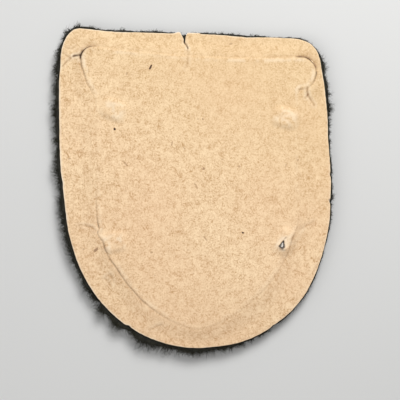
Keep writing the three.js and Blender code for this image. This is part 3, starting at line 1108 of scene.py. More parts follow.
@dataclass(frozen=True)
class ProngPlace:
    """Where a prong stands and which way it is folded."""

    x: float
    y: float
    heading: float
    swell: float = 0.42
    through_card: bool = False
    width: float = 2.0
    length: float = 3.2
    bend_at: float = 1.5

    def half_width(self, along: Array) -> Array:
        """Return half the prong's width: full, then narrowing as a square root to its tip."""
        left = np.clip((self.length - along) / 1.1, 0, 1)
        return self.width / 2 * np.where(along > 0.5, 0.35 + 0.65 * np.sqrt(left), 1.0)

    def lift(self, along: Array, rise: float) -> Array:
        """Return how far the prong has risen, straight from its bend to its tip."""
        past = np.clip((along - self.bend_at) / (self.length - self.bend_at), 0, 1)
        return rise * past * self.through_card

    def local(self, places: Array) -> tuple[Array, Array]:
        """Return how far along and across the prong's heading each place lies.

        Args:
            places: Points in plan.

        Returns:
            How far each lies along the prong and across it.
        """
        c, s = math.cos(self.heading), math.sin(self.heading)
        dx, dy = places[:, 0] - self.x, places[:, 1] - self.y
        return dx * c + dy * s, dy * c - dx * s


PRONGS = (
    ProngPlace(-18.9, 17.8, -0.35),
    ProngPlace(21.7, 15.2, math.pi - 0.25),
    ProngPlace(-18.9, -12.1, 0.2, swell=0.34),
    ProngPlace(20.9, -10.3, math.radians(-118), swell=0.36, through_card=True),
)
TEAR = (
    (19.82, -11.35),
    (19.32, -11.95),
    (18.9, -12.5),
    (19.1, -12.74),
    (19.55, -13.0),
    (19.84, -12.86),
    (19.84, -12.1),
)

GLINT = ((19.62, -12.0), (19.66, -12.45), (19.35, -12.75))

CREASES = (
    Crease(((-2.0, 32.6), (-2.0, 32.15), (-1.55, 31.6), (-1.2, 30.9)), Wear.CRACK, 0.14, 0.14, 1.2),
    Crease(((-1.25, 30.5), (-1.15, 29.4), (-1.3, 27.2), (-1.7, 26.6)), Wear.FOLD, 0.20, 0.05, 0.45),
    Crease(((-24.4, 30.3), (-24.75, 29.6), (-24.8, 28.8)), Wear.CRACK, 0.26, 0.10, 1.0),
    Crease(((-24.7, 29.4), (-25.2, 29.4), (-26.4, 29.2)), Wear.CRACK, 0.16, 0.12, 1.7),
    Crease(((-26.2, 29.25), (-27.0, 28.7), (-27.8, 28.1), (-28.8, 27.0)), Wear.FOLD, 0.18, 0.05, 0.5),
    Crease(((-28.7, 29.9), (-28.1, 29.5), (-27.0, 28.8)), Wear.FOLD, 0.18, 0.05, 0.4),
    Crease(((-28.2, 31.0), (-26.8, 30.9), (-25.9, 31.4)), Wear.FOLD, 0.18, 0.04, 0.35),
    Crease(
        ((25.1, 22.2), (25.05, 21.3), (25.2, 20.6), (25.9, 19.5), (26.6, 18.4)), Wear.FOLD, 0.20, 0.08, 0.75
    ),
    Crease(((25.3, 20.8), (24.7, 20.0)), Wear.FOLD, 0.18, 0.05, 0.55),
    Crease(((-25.2, -8.0), (-24.0, -8.1), (-22.5, -8.4), (-21.4, -9.2)), Wear.FOLD, 0.19, 0.06, 0.6),
    Crease(((23.6, -8.9), (24.6, -8.2), (26.6, -7.2)), Wear.FOLD, 0.22, 0.04, 0.35),
    Crease(((28.2, -16.5), (27.0, -17.3), (26.2, -18.6)), Wear.FOLD, 0.25, 0.03, 0.25),
    Crease(((23.7, -7.9), (23.0, -9.4), (21.9, -11.1)), Wear.FOLD, 0.30, 0.04, 0.3),
    Crease(((20.0, -11.05), (20.35, -10.75)), Wear.CRACK, 0.13, 0.05, 0.7),
    Crease(((-19.0, -19.3), (-18.3, -18.8), (-17.9, -19.6), (-17.5, -20.6)), Wear.FOLD, 0.2, 0.05, 0.5),
    Crease(((-19.5, -19.6), (-18.8, -20.6), (-18.0, -21.4)), Wear.FOLD, 0.2, 0.04, 0.3),
    Crease(((-9.6, -31.1), (-8.2, -30.4), (-6.9, -29.9)), Wear.FOLD, 0.22, 0.04, 0.4),
)

FLECKS = (
    # The first four are painted shadow in the gap round the tear.
    Fleck(18.92, -12.73, 0.34, 0.20, -48, 1.0),
    Fleck(19.45, -13.08, 0.50, 0.24, -26, 1.0),
    Fleck(19.99, -12.62, 0.60, 0.24, 90, 1.0),
    Fleck(19.93, -11.75, 0.45, 0.12, 88, 0.8),
    Fleck(-9.4, 26.7, 0.75, 0.24, 65, 0.95),
    Fleck(-17.3, 13.1, 0.30, 0.30, 0, 1.0),
    Fleck(10.9, -9.7, 0.32, 0.24, 0, 1.0),
    Fleck(30.0, -2.4, 0.26, 0.26, 0, 0.8),
    Fleck(2.3, 4.4, 0.34, 0.34, 0, 0.55),
    Fleck(-21.4, -13.45, 0.75, 0.36, 38, 0.6),
    Fleck(-24.2, -13.3, 0.3, 0.22, 10, 0.4),
    Fleck(-14.9, 5.5, 0.9, 0.2, -48, 0.45),
    Fleck(-4.7, 9.9, 0.6, 0.2, 75, 0.45),
    Fleck(-2.0, 8.9, 0.5, 0.18, -55, 0.4),
    Fleck(0.6, 0.6, 0.9, 0.2, -62, 0.4),
    Fleck(2.1, 15.3, 0.28, 0.22, 90, 0.5),
    Fleck(1.0, 15.3, 0.22, 0.2, 0, 0.35),
    Fleck(6.4, 6.4, 0.24, 0.2, 0, 0.4),
    Fleck(10.1, 4.9, 0.3, 0.24, 0, 0.5),
    Fleck(23.0, 6.3, 0.3, 0.22, 30, 0.45),
    Fleck(-9.2, -14.0, 0.3, 0.24, 0, 0.45),
    Fleck(2.6, -10.9, 0.75, 0.22, -55, 0.45),
    Fleck(8.3, 31.9, 0.4, 0.26, 20, 0.4),
    Fleck(-14.6, 25.3, 0.35, 0.22, 60, 0.4),
    Fleck(-27.3, 6.6, 0.4, 0.2, 20, 0.4),
    Fleck(20.4, 5.2, 0.5, 0.18, 70, 0.35),
)


@dataclass(frozen=True)
class PressLine:
    """The plate's edge at one turn.

    After its turn, the next three say how strongly the painted shade and dirt at its foot, its cracks, dark
    with dirt and painted shade in the opening, and its rubbed crest show; sharp says how much of the rise is
    a sharp step, and inset how far the line strays inwards.
    """

    turn: float
    soil_and_shade: float
    crack_and_shadow: float
    rub: float
    sharp: float
    inset: float = 0.0


PRESS_LINES = (
    PressLine(0.00, 0.05, 0.0, 0.08, 0.09),
    PressLine(0.05, 0.08, 0.0, 0.12, 0.10),
    PressLine(0.10, 0.14, 0.0, 0.18, 0.14, 0.1),
    PressLine(0.135, 0.22, 0.0, 0.20, 0.18, 0.45),
    PressLine(0.158, 0.46, 0.04, 0.22, 0.33, 0.9),
    PressLine(0.175, 0.22, 0.0, 0.16, 0.25, 0.4),
    PressLine(0.195, 0.05, 0.0, 0.12, 0.10),
    PressLine(0.31, 0.04, 0.0, 0.12, 0.10),
    PressLine(0.334, 0.06, 0.0, 0.20, 0.12),
    PressLine(0.342, 0.35, 0.12, 0.45, 0.35),
    PressLine(0.350, 0.80, 0.80, 0.55, 0.66),
    PressLine(0.370, 0.95, 1.0, 0.60, 0.75, -0.25),
    PressLine(0.381, 0.85, 0.80, 0.60, 0.66, -0.3),
    PressLine(0.389, 0.34, 0.10, 0.50, 0.41, -0.2),
    PressLine(0.405, 0.25, 0.0, 0.50, 0.37, -0.1),
    PressLine(0.45, 0.18, 0.0, 0.45, 0.33),
    PressLine(0.51, 0.06, 0.0, 0.18, 0.16),
    PressLine(0.56, 0.10, 0.0, 0.30, 0.20),
    PressLine(0.602, 0.20, 0.0, 0.40, 0.33),
    PressLine(0.613, 0.45, 0.30, 0.50, 0.60, -0.15),
    PressLine(0.620, 0.75, 1.0, 0.60, 0.75, -0.35),
    PressLine(0.630, 0.90, 1.0, 0.60, 0.75, -0.2),
    PressLine(0.637, 0.50, 0.20, 0.80, 0.45, 0.35),
    PressLine(0.650, 0.26, 0.0, 0.60, 0.37, 0.7),
    PressLine(0.666, 0.24, 0.0, 0.35, 0.30, 0.2),
    PressLine(0.68, 0.06, 0.0, 0.12, 0.12, 0.1),
    PressLine(0.77, 0.05, 0.0, 0.15, 0.08),
    PressLine(0.79, 0.10, 0.0, 0.25, 0.12),
    PressLine(0.812, 0.24, 0.15, 0.35, 0.20, 0.2),
    PressLine(0.822, 0.32, 0.45, 0.40, 0.28, 0.4),
    PressLine(0.830, 0.45, 0.90, 0.40, 0.33, 0.6),
    PressLine(0.838, 0.40, 0.05, 0.40, 0.33, 0.05),
    PressLine(0.848, 0.50, 0.35, 0.35, 0.33, 0.65),
    PressLine(0.858, 0.46, 0.30, 0.35, 0.30, 0.42),
    PressLine(0.868, 0.36, 0.20, 0.35, 0.28, 0.35),
    PressLine(0.88, 0.36, 0.36, 0.35, 0.27, 0.55),
    PressLine(0.91, 0.34, 0.15, 0.30, 0.24, 0.25),
    PressLine(0.935, 0.28, 0.08, 0.30, 0.22),
    PressLine(0.955, 0.16, 0.0, 0.25, 0.18),
    PressLine(0.975, 0.08, 0.0, 0.12, 0.11),
    PressLine(1.00, 0.05, 0.0, 0.08, 0.09),
)


def pressed_line(name: str, turn: Array) -> Array:
    """Return one property of the pressed line at these turns, joined smoothly between stops.

    Args:
        name: The field of the press lines to read.
        turn: The turns to read it at.

    Returns:
        Its value at each turn.
    """
    stops = np.array([line.turn for line in PRESS_LINES])
    values = np.array([getattr(line, name) for line in PRESS_LINES])
    k = np.clip(np.searchsorted(stops, turn, side="right") - 1, 0, len(stops) - 2)
    share = smooth((turn - stops[k]) / (stops[k + 1] - stops[k]))
    return values[k] + share * (values[k + 1] - values[k])


# How torn the card's cut edge is, by turn.
CUT_EDGE_WEAR = (
    (0, 0.5), (0.05, 0.2), (0.2, 0.35), (0.36, 0.5), (0.42, 0.6), (0.55, 0.9), (0.8, 0.9), (1, 0.5),
)
TEAR_SPLIT = 2.0  # how far round the tear the card's quads are split before it is cut


@dataclass
class CoverCard:
    """The card glued over plate and cloth, with the plate's edge pressed into it."""

    levels: Levels
    thickness: float = 0.35
    rings: int = 140
    field_rings: int = 96
    hub: tuple[float, float] = (0.9, 0.5)
    pad_power: float = 3.2
    body_sides: tuple[float, float] = (-21.2, 23.1)
    shape: CardShape = field(default_factory=CardShape)

    def __post_init__(self) -> None:
        """Work out the outlines that the net follows."""
        self.edge = self.shape.outline()
        self.pressed, self.net_line = (
            form.outline().moved(PRESSED_FOOT).grown(lambda turn, _: -pressed_line("inset", turn))
            for form in (PRESSED, NET_LINE)
        )
        self.guide = self.net_line.without_lobes(*self.body_sides)
        self.border_z = self.levels.card_low + self.thickness
        self.raised_z = self.levels.plate_high + 0.03 + self.thickness

    def plan(self, ring: Array, turn: Array) -> Array:
        """Places in plan: from the hub out to the pressed line, and on to the cut edge.

        Rings close up towards the pressed line from both sides: outwards by 1.5q - 0.5q^2
        of the share q within it, and past it by 0.55q + 0.45q^2. Inside, the rings start as
        a shield without its lobes and take them on over their last third.

        Args:
            ring: The ring of each point.
            turn: Its turn.

        Returns:
            Its place in plan.
        """
        within = np.clip(ring / self.field_rings, 0, 1)
        share = (1.5 - 0.5 * within) * within
        past = np.clip((ring - self.field_rings) / (self.rings - self.field_rings), 0, 1)
        past = (0.55 + 0.45 * past) * past
        body, pressed, edge = (o.at(turn) for o in (self.guide, self.net_line, self.edge))
        lobes = smooth((share - 0.66) / 0.34)[:, None]
        hub = np.array(self.hub)
        inner = hub + share[:, None] * (body + lobes * (pressed - body) - hub)
        outer = pressed + past[:, None] * (edge - pressed)
        return np.where((ring <= self.field_rings)[:, None], inner, outer)

    def pad(self, places: Array, prong: ProngPlace) -> Array:
        """Return a prong's swelling, 0 to 1: a superellipse about its tab with soft sides.

        Args:
            places: Points in plan.
            prong: The prong below.

        Returns:
            How far each is raised, 0 to 1.
        """
        along, across = prong.local(places)
        reach = (np.abs((along - 1.5) / 2.75) ** self.pad_power) + (
            np.abs(across / 2.1) ** self.pad_power
        )
        return smooth((1.32 - reach ** (1 / self.pad_power)) / 0.75)

    def draped(self, z: Array, places: Array, prong: ProngPlace) -> Array:
        """Lift the card's upper face where a rising prong would come through beside the tear.

        Args:
            z: Heights of the upper face.
            places: Points in plan.
            prong: The rising prong.

        Returns:
            The heights, at least a hair over the prong and falling off softly beside it.
        """
        along, across = prong.local(places)
        top = self.levels.plate_high + 0.5 + prong.lift(along, self.levels.tip_rise)
        beside = smooth((prong.half_width(along) + 0.5 - np.abs(across)) / 0.5)
        near = beside * smooth((prong.length + 0.35 - along) / 0.35) * smooth(along / 0.5)
        return z + near * np.clip(top - z, 0, None)

    def height(self, places: Array, ring: Array, turn: Array) -> tuple[Array, Array]:
        """Height of the card's upper face.

        The border rises over the plate by two smooth steps added together, one sharp and one
        as wide as most of the border, with a shallow groove at the foot of the sharp one and a
        low crest inside it. Swellings, creases and three sizes of soft waves are added.

        Args:
            places: Points in plan.
            ring: Their rings.
            turn: Their turns.

        Returns:
            The heights, and the depth of each place inside the pressed line.
        """
        x, y = places.T
        depth = self.pressed.depth(places, turn, ring <= self.field_rings)
        sharp = pressed_line("sharp", turn) * (1 + 0.25 * mottle(x, y, 2.5, 21))
        reach = np.clip(0.8 * np.hypot(*(self.edge.at(turn) - self.pressed.at(turn)).T), 1.2, 4.2)
        foot = 0.45
        step = sharp * smooth((depth + foot) / (foot + 0.15)) + (1 - sharp) * smooth((depth + reach) / reach)
        z = self.border_z + (self.raised_z - self.border_z) * step
        z -= (0.15 * sharp + 0.08 * pressed_line("crack_and_shadow", turn)) * bell((depth + 0.32) / 0.24)
        z += 0.045 * bell((depth - 0.45) / 0.4) * pressed_line("rub", turn)
        for prong in PRONGS:
            z += prong.swell * self.pad(places, prong)
            if prong.through_card:
                z = self.draped(z, places, prong)
        outside = smooth(-depth / 2.0)
        z += 0.045 * mottle(x, y, 8.0, 22) + 0.018 * mottle(x, y, 2.6, 23)
        z += outside * 0.07 * mottle(x, y, 5.0, 24)
        for crease in CREASES:
            away, share = path_distance(places, np.array(crease.path))
            ends = smooth(share / 0.15) * smooth((1 - share) / 0.15) * 0.6 + 0.4
            z -= crease.depth * ends * bell(away / (1.3 * crease.width))
            z += 0.35 * crease.depth * ends * bell((away - 3 * crease.width) / (1.6 * crease.width))
        away, _ = path_distance(places, np.array((*TEAR, TEAR[0])))
        return z + 0.07 * bell(away / 0.45), depth

    def wear_and_painted_light(self, places: Array, depth: Array, turn: Array, edge_near: Array) -> dict[str, Array]:
        """What dirt and rubbing have done at each place, with painted shade along the plate's edge and in the
        creases and painted shadow round the tear.

        Args:
            places: Points in plan.
            depth: Their depth inside the pressed line.
            turn: Their turns.
            edge_near: 1 at the cut edge, falling to 0 away from it.

        Returns:
            The attributes of dirt with painted shade, of rubbing, of torn fibres and of cracks with painted
            shadow, each 0 to 1.
        """
        x, y = places.T
        patchy = 0.75 + 0.5 * mottle(x, y, 1.3, 31) + 0.3 * mottle(x, y, 0.6, 32)
        # Painted shade at the foot of the plate's edge: a thin dark line with some dirt in it, and a broad
        # band.
        line = bell((depth + 0.25) / 0.2)
        shade = 0.30 * bell((depth + 0.9) / 0.9)
        soil_and_shade = pressed_line("soil_and_shade", turn) * patchy * (line + shade)
        # Cracks along the plate's edge: dirt, with painted shade in the opening.
        broken_up = smooth(0.75 + 0.9 * mottle(x, y, 0.9, 34))
        crack_and_shadow = pressed_line("crack_and_shadow", turn) * bell((depth + 0.2) / 0.15) * broken_up
        flaked = smooth(0.55 + 1.2 * mottle(x, y, 1.0, 38) + 0.5 * mottle(x, y, 0.4, 39))
        rub = 0.8 * pressed_line("rub", turn) * bell((depth - 0.45) / 0.38) * flaked
        for prong in PRONGS:
            scraped = smooth(0.5 + 1.3 * mottle(x, y, 1.1, 35) + 0.7 * mottle(x, y, 0.5, 36))
            rub += (0.48 if not prong.through_card else 0.2) * self.pad(places, prong) ** 2 * scraped
        # Crease lines: dirt in the folds and cracks, with painted shade in their grooves, and a rubbed band
        # beside them.
        for crease in CREASES:
            away, share = path_distance(places, np.array(crease.path))
            broken = crease.strength * (0.8 + 0.4 * mottle(x, y, 0.9, 33))
            mark = broken * bell(away / crease.width)
            crack_and_shadow += mark if crease.kind is Wear.CRACK else 0.16 * mark
            soil_and_shade += mark if crease.kind is Wear.FOLD else 0.4 * mark
            rub += 0.35 * broken * bell((away - 2.6 * crease.width) / (1.2 * crease.width))
        # A little darker towards the bottom.
        soil_and_shade += 0.06 * smooth((-y - 16) / 16)
        # Painted shadow in the gap round the tear; lighter torn fibres a little further out.
        away, share = path_distance(places, np.array((*TEAR, TEAR[0])))
        crack_and_shadow += 0.7 * bell(away / 0.16)
        ragged = 0.8 + 0.5 * mottle(x, y, 1.5, 37)
        torn = 0.35 * bell((away - 0.5) / 0.3) + edge_near * stops(turn, CUT_EDGE_WEAR) * ragged
        yellowed = smooth((0.8 * y + 0.4 * x + 8) / 40)
        kept = {"soil_and_shade": soil_and_shade, "rub": rub, "torn": torn, "crack_and_shadow": crack_and_shadow, "yellowed": yellowed}
        return {name: np.clip(value, 0, 1) for name, value in kept.items()}

    def build(self) -> Piece:
        """Make the card: its upper face, its cut edge and its underside, then open the tear."""
        net = SquareNet(self.rings)
        ring, turn = net.points()
        places = self.plan(ring, turn)
        z, depth = self.height(places, ring, turn)
        edge_near = smooth((ring - self.rings + 1.6) / 1.6)
        z -= 0.05 * edge_near
        turns = net.rim_turns()
        inward = (0, 4, 14, 26, 36, 44, 47, 52, 58, 66, 76, 90, 112)
        under = []
        for k, steps in enumerate(inward):
            rings = np.full(len(turns), float(self.rings - steps))
            flat = self.plan(rings, turns)
            below = self.height(flat, rings, turns)[0] - self.thickness
            under.append(np.column_stack([flat, below]))
        piece = net.closed("cover_card", np.column_stack([places, z]), under)
        piece.store(**self.wear_and_painted_light(places, depth, turn, edge_near))
        self._open_tear(piece)
        piece.keep_edges(52)
        return piece

    def _split_quads(self, mesh: bpy.types.Mesh, middle: Array, reach: float) -> None:
        """Split the bent quads round a place into triangles, so that a cut leaves no doubled slivers.

        Args:
            mesh: The mesh to change.
            middle: The place in plan.
            reach: How far round it to split.
        """
        centres = np.empty(3 * len(mesh.polygons))
        mesh.polygons.foreach_get("center", centres)
        away = np.hypot(*(centres.reshape(-1, 3)[:, :2] / MM - middle).T)
        net = bmesh.new()
        net.from_mesh(mesh)
        net.faces.ensure_lookup_table()
        bmesh.ops.triangulate(net, faces=[net.faces[k] for k in np.flatnonzero(away < reach)])
        net.to_mesh(mesh)
        net.free()

    def _open_tear(self, piece: Piece) -> None:
        """Cut the tear through the card, where the last prong's tip comes up.

        Args:
            piece: The card.
        """
        corners = np.array(TEAR)
        self._split_quads(piece.thing.data, corners.mean(0), TEAR_SPLIT)
        count = len(corners)
        levels = (self.levels.card_low - 0.5, self.raised_z + 2)
        places = np.vstack([np.column_stack([corners, np.full(count, z)]) for z in levels])
        low, high = np.arange(count), count + np.arange(count)
        after = np.roll(np.arange(count), -1)
        walls = np.stack([low, low[after], high[after], high], axis=1)
        cutter = Piece.from_faces("tear_cutter", places, [walls, low[None, ::-1], high[None, :]])
        cut = piece.thing.modifiers.new("tear", "BOOLEAN")
        cut.operation = "DIFFERENCE"
        cut.solver = "EXACT"
        cut.object = cutter.thing
        depsgraph = bpy.context.evaluated_depsgraph_get()
        made = bpy.data.meshes.new_from_object(piece.thing.evaluated_get(depsgraph))
        piece.thing.modifiers.clear()
        piece.thing.data = made
        bpy.data.objects.remove(cutter.thing)
        self._blacken(made, np.array((*TEAR, TEAR[0])))

    def _blacken(self, mesh: bpy.types.Mesh, path: Array) -> None:
        """Paint the hole's cut walls with shade: set the attribute of cracks and painted shadow to 1 on them,
        where they stand on a path in plan.

        Args:
            mesh: The mesh to change.
            path: The path.
        """
        places, crack_and_shadow = np.empty(3 * len(mesh.vertices)), np.empty(len(mesh.vertices))
        mesh.vertices.foreach_get("co", places)
        layer = mesh.attributes["crack_and_shadow"].data
        layer.foreach_get("value", crack_and_shadow)
        away, _ = path_distance(places.reshape(-1, 3)[:, :2] / MM, path)
        layer.foreach_set("value", np.where(away < 0.01, 1.0, crack_and_shadow).astype(np.float32))

    def dress(self, piece: Piece) -> None:
        """Give the card its aged pulp finish."""
        piece.dress(AgedCard().material(), "cover_paper", "cover_paper")


# ---------------------------------------------------------------- the wool cloth


WOOL_MARGINS = (
    (0.00, 1.25), (0.04, 0.75), (0.08, 0.40), (0.18, 0.35), (0.22, 0.55), (0.29, 0.60),
    (0.32, 0.90), (0.355, 0.85), (0.38, 0.40), (0.42, 0.35), (0.44, 0.50), (0.50, 0.45),
    (0.55, 0.50), (0.60, 0.75), (0.64, 0.90), (0.68, 1.15), (0.74, 1.15), (0.80, 1.05),
    (0.87, 1.10), (0.91, 1.35), (0.96, 1.55), (1.00, 1.25),
)


@dataclass
class WoolCloth:
    """Felted wool between shield and plate, torn round the card rather than cut."""

    levels: Levels
    card_edge: Outline
    rings: int = 80
    margins: tuple[tuple[float, float], ...] = WOOL_MARGINS

    def __post_init__(self) -> None:
        """Work out the torn edge."""
        self.edge = self.card_edge.grown(self._margin)

    def _margin(self, turn: Array, places: Array) -> Array:
        """Return how far the cloth shows past the card, with ragged bites.

        Args:
            turn: The turns of the places.
            places: Points on the card edge.

        Returns:
            How far the cloth shows past each.
        """
        length = 215.0 * turn
        ragged = 0.45 * mottle(length, 0 * length, 2.3, 41) + 0.25 * mottle(length, 0 * length, 0.8, 42)
        bite = 0.55 * bell(np.hypot(places[:, 0] + 2.2, places[:, 1] - 34.6) / 0.8)
        return 0.6 * stops(turn, self.margins) * (1 + seam(turn) * ragged) - 0.08 - bite

    def build(self) -> Piece:
        """Make the slab: a lumpy upper face, a round rim and a lumpy lower face."""
        net = SquareNet(self.rings)
        ring, turn = net.points()
        hub = np.array([0.5, 0.0])
        share = (ring / self.rings)[:, None]
        flat = hub + share * (self.edge.at(turn) - hub)
        x, y = flat.T
        near_rim = smooth((share[:, 0] - 0.965) / 0.035)
        lumps = 0.025 * mottle(x, y, 0.9, 43) - 0.01
        z = self.levels.cloth_high + lumps * (1 + 2 * near_rim) - 0.22 * near_rim**2
        turns = net.rim_turns()
        rim, normal = self.edge.at(turns), self.edge.normals(turns)
        middle = (self.levels.cloth_low + self.levels.cloth_high) / 2
        half = (self.levels.cloth_high - self.levels.cloth_low) / 2
        under = []
        for swell in (-0.55, -0.1, 0.35, 0.8):
            out = 0.16 * math.sqrt(1 - swell**2) + 0.07 * mottle(*rim.T + swell * 3, 0.7, 44)
            level = middle - swell * half + 0.04 * mottle(*rim.T + swell * 5, 1.1, 45)
            under.append(np.column_stack([rim + normal * out[:, None], level]))
        for inwards in (0.995, 0.97, 0.93, 0.88, 0.8, 0.7, 0.58, 0.45, 0.3, 0.15):
            ring_flat = hub + inwards * (rim - hub)
            low = self.levels.cloth_low + 0.02 + 0.025 * mottle(ring_flat[:, 0], ring_flat[:, 1], 0.9, 46)
            under.append(np.column_stack([ring_flat, low]))
        return net.closed("wool_cloth", np.column_stack([flat, z]), under)

    def dress(self, piece: Piece, fringe: list[Piece]) -> None:
        """Args:
            piece: The cloth.
            fringe: The bunches of hairs at its edge; not used.
        """
        piece.dress(FeltedWool().material(), "wool", "cloth_backing")
        low, high = self.edge.points.min(0), self.edge.points.max(0)
        width, length = (high - low) * MM
        self.edge.area() * MM * MM


@dataclass
class WoolFringe:
    """Loose hairs that stand out of the cloth's torn edge in tufts."""

    levels: Levels
    edge: Outline
    bunches: int = 4
    tufts: int = 300
    hairs: int = 19
    joints: int = 5
    radius: float = 0.034
    margins: tuple[tuple[float, float], ...] = WOOL_MARGINS
    seed: int = 77

    def strands(self, rng: np.random.Generator, first: float, last: float) -> Array:
        """Centre lines of the hairs between two turns.

        A hair runs out along its tuft's direction, bent sideways by a slow sine and down by
        the square of its length.

        Args:
            rng: The source of chance.
            first: Where the stretch of edge starts, as a turn.
            last: Where it ends.

        Returns:
            An array of hairs by joints by three coordinates.
        """
        turn = rng.uniform(first, last, self.tufts)
        lean = rng.normal(0, 0.6, self.tufts)
        length = np.minimum(rng.gamma(2.4, 0.34, self.tufts) + 0.35, 2.1) * stops(turn, self.margins)
        count = self.tufts * self.hairs
        tuft = np.repeat(np.arange(self.tufts), self.hairs)
        own_turn = turn[tuft] + rng.normal(0, 0.16 / 215, count)
        root, normal = self.edge.at(own_turn), self.edge.normals(own_turn)
        sideways = np.column_stack([-normal[:, 1], normal[:, 0]])
        swing = lean[tuft] + rng.normal(0, 0.28, count)
        pitch = rng.normal(0.05, 0.3, count)
        reach = length[tuft] * rng.uniform(0.45, 1.15, count)
        t = np.linspace(0, 1, self.joints)[None, :]
        bends = rng.uniform(1.5, 5, count)[:, None]
        wave = 0.2 * np.sin(t * bends) * rng.choice([-1, 1], count)[:, None]
        wave = wave * reach[:, None]
        out = reach[:, None] * t * (np.cos(swing) * np.cos(pitch))[:, None] - 0.25
        aside = reach[:, None] * t * (np.sin(swing) * np.cos(pitch))[:, None] + wave
        high = rng.uniform(self.levels.cloth_low + 0.15, self.levels.cloth_high - 0.1, count)
        up = high[:, None] + reach[:, None] * t * np.sin(pitch)[:, None] - 0.12 * (reach[:, None] * t) ** 2
        plan = root[:, None, :] + out[..., None] * normal[:, None, :]
        plan = plan + aside[..., None] * sideways[:, None, :]
        return np.concatenate([plan, np.clip(up, 0.05, None)[..., None]], axis=2)

    def tubes(self, name: str, lines: Array, rng: np.random.Generator) -> Piece:
        """Carry a triangle along each hair, tapering to its tip, and close both ends.

        Args:
            name: The piece's name.
            lines: The joints of each hair.
            rng: The source of chance.

        Returns:
            The piece.
        """
        count, joints, _ = lines.shape
        ahead = lines[:, -1] - lines[:, 0]
        ahead /= np.linalg.norm(ahead, axis=1)[:, None]
        across = np.cross(ahead, [0.3, 0.2, 0.93])
        across /= np.linalg.norm(across, axis=1)[:, None]
        upright = np.cross(across, ahead)
        angle = np.arange(3) * 2 * np.pi / 3
        ring = across[:, None, :] * np.cos(angle)[:, None] + upright[:, None, :] * np.sin(angle)[:, None]
        thick = self.radius * rng.uniform(0.6, 1.25, count)[:, None] * np.linspace(1, 0.35, joints)
        places = lines[:, :, None, :] + thick[:, :, None, None] * ring[:, None, :, :]
        numbers = np.arange(count * joints * 3).reshape(count, joints, 3)
        after = np.roll(numbers, -1, axis=2)
        walls = np.stack([numbers[:, :-1], numbers[:, 1:], after[:, 1:], after[:, :-1]], axis=-1)
        ends = np.concatenate([numbers[:, 0, :], numbers[:, -1, ::-1]])
        piece = Piece.from_faces(name, places.reshape(-1, 3), [walls.reshape(-1, 4), ends])
        tone = np.repeat(rng.beta(1.3, 2.6, count), joints * 3)
        piece.store(tone=tone)
        return piece

    def build(self) -> list[Piece]:
        """Make one bunch of hairs for each stretch of the edge."""
        made = []
        for k in range(self.bunches):
            rng = np.random.default_rng(self.seed + k)
            lines = self.strands(rng, k / self.bunches, (k + 1) / self.bunches)
            made.append(self.tubes(f"wool_fringe_{k + 1}", lines, rng))
        return made

    def dress(self, pieces: list[Piece]) -> None:
        """Give every bunch the hair finish.

        Args:
            pieces: The bunches.
        """
        material = WoolHair().material()
        for piece in pieces:
            piece.dress(material, "wool")


# ---------------------------------------------------------------- the metal


@dataclass
class FrontShield:
    """The stamped shield that the whole lies on: a rim, a bead and a pebbled field."""

    rings: int = 84
    sheet: float = 0.8
    relief: float = 0.6
    rim: float = 1.7
    bead_from: float = 3.1
    bead_width: float = 0.7
    bead_height: float = 0.3

    def profile(self, depth: Array) -> Array:
        """Height of the front face at a depth inside the edge.

        It turns up at the edge as a quarter round, lies on the rest surface over the rim,
        rises by a smooth step to the field, and dips back over the bead's half round.

        Args:
            depth: Depths inside the edge.

        Returns:
            The heights.
        """
        edge = 0.3 * (1 - np.sqrt(np.clip(1 - (1 - depth / 0.3) ** 2, 0, 1))) * (depth < 0.3)
        field_z = self.relief * smooth((depth - self.rim) / 0.4)
        from_bead = (depth - self.bead_from - self.bead_width / 2) / (self.bead_width / 2)
        bead = self.bead_height * np.sqrt(np.clip(1 - from_bead**2, 0, 1))
        return edge + field_z - bead

    def build(self) -> Piece:
        """Make the sheet: the relief below, a flat back above."""
        outline = metal_outline(SHIELD_OVERHANG)
        net = SquareNet(self.rings)
        _, turn = net.points()
        flat = net.blended(outline, 0.5)
        coarse = Outline(outline.points[::3])
        depth = coarse.depth(flat, turn, np.ones(len(flat), bool), len(coarse.points) // 2)
        deep = depth > self.bead_from + self.bead_width + 0.3
        pebbles = 0.03 * mottle(*flat.T, 0.8, 51) + 0.02 * mottle(*flat.T, 0.5, 52)
        z = self.profile(depth) + pebbles * deep
        rim = flat[net.rim()]
        back = self.relief + self.sheet
        under = [np.column_stack([rim, np.full(len(rim), back)])]
        for inwards in (0.9, 0.5):
            under.append(np.column_stack([inwards * rim, np.full(len(rim), back)]))
        front = np.column_stack([flat, np.maximum(z, 0)])
        piece = net.closed("stamped_shield", front, under, upside_down=True)
        worn = 0.5 * bell((depth - 0.5) / 0.5) + 0.4 * bell((depth - self.bead_from - 0.35) / 0.3)
        piece.store(worn=np.clip(worn, 0, 1))
        piece.keep_edges(50)
        return piece

    def dress(self, piece: Piece) -> None:
        """Give the shield its dull stamped finish."""
        piece.dress(StampedMetal().material(), "shield_metal", "front_shield")


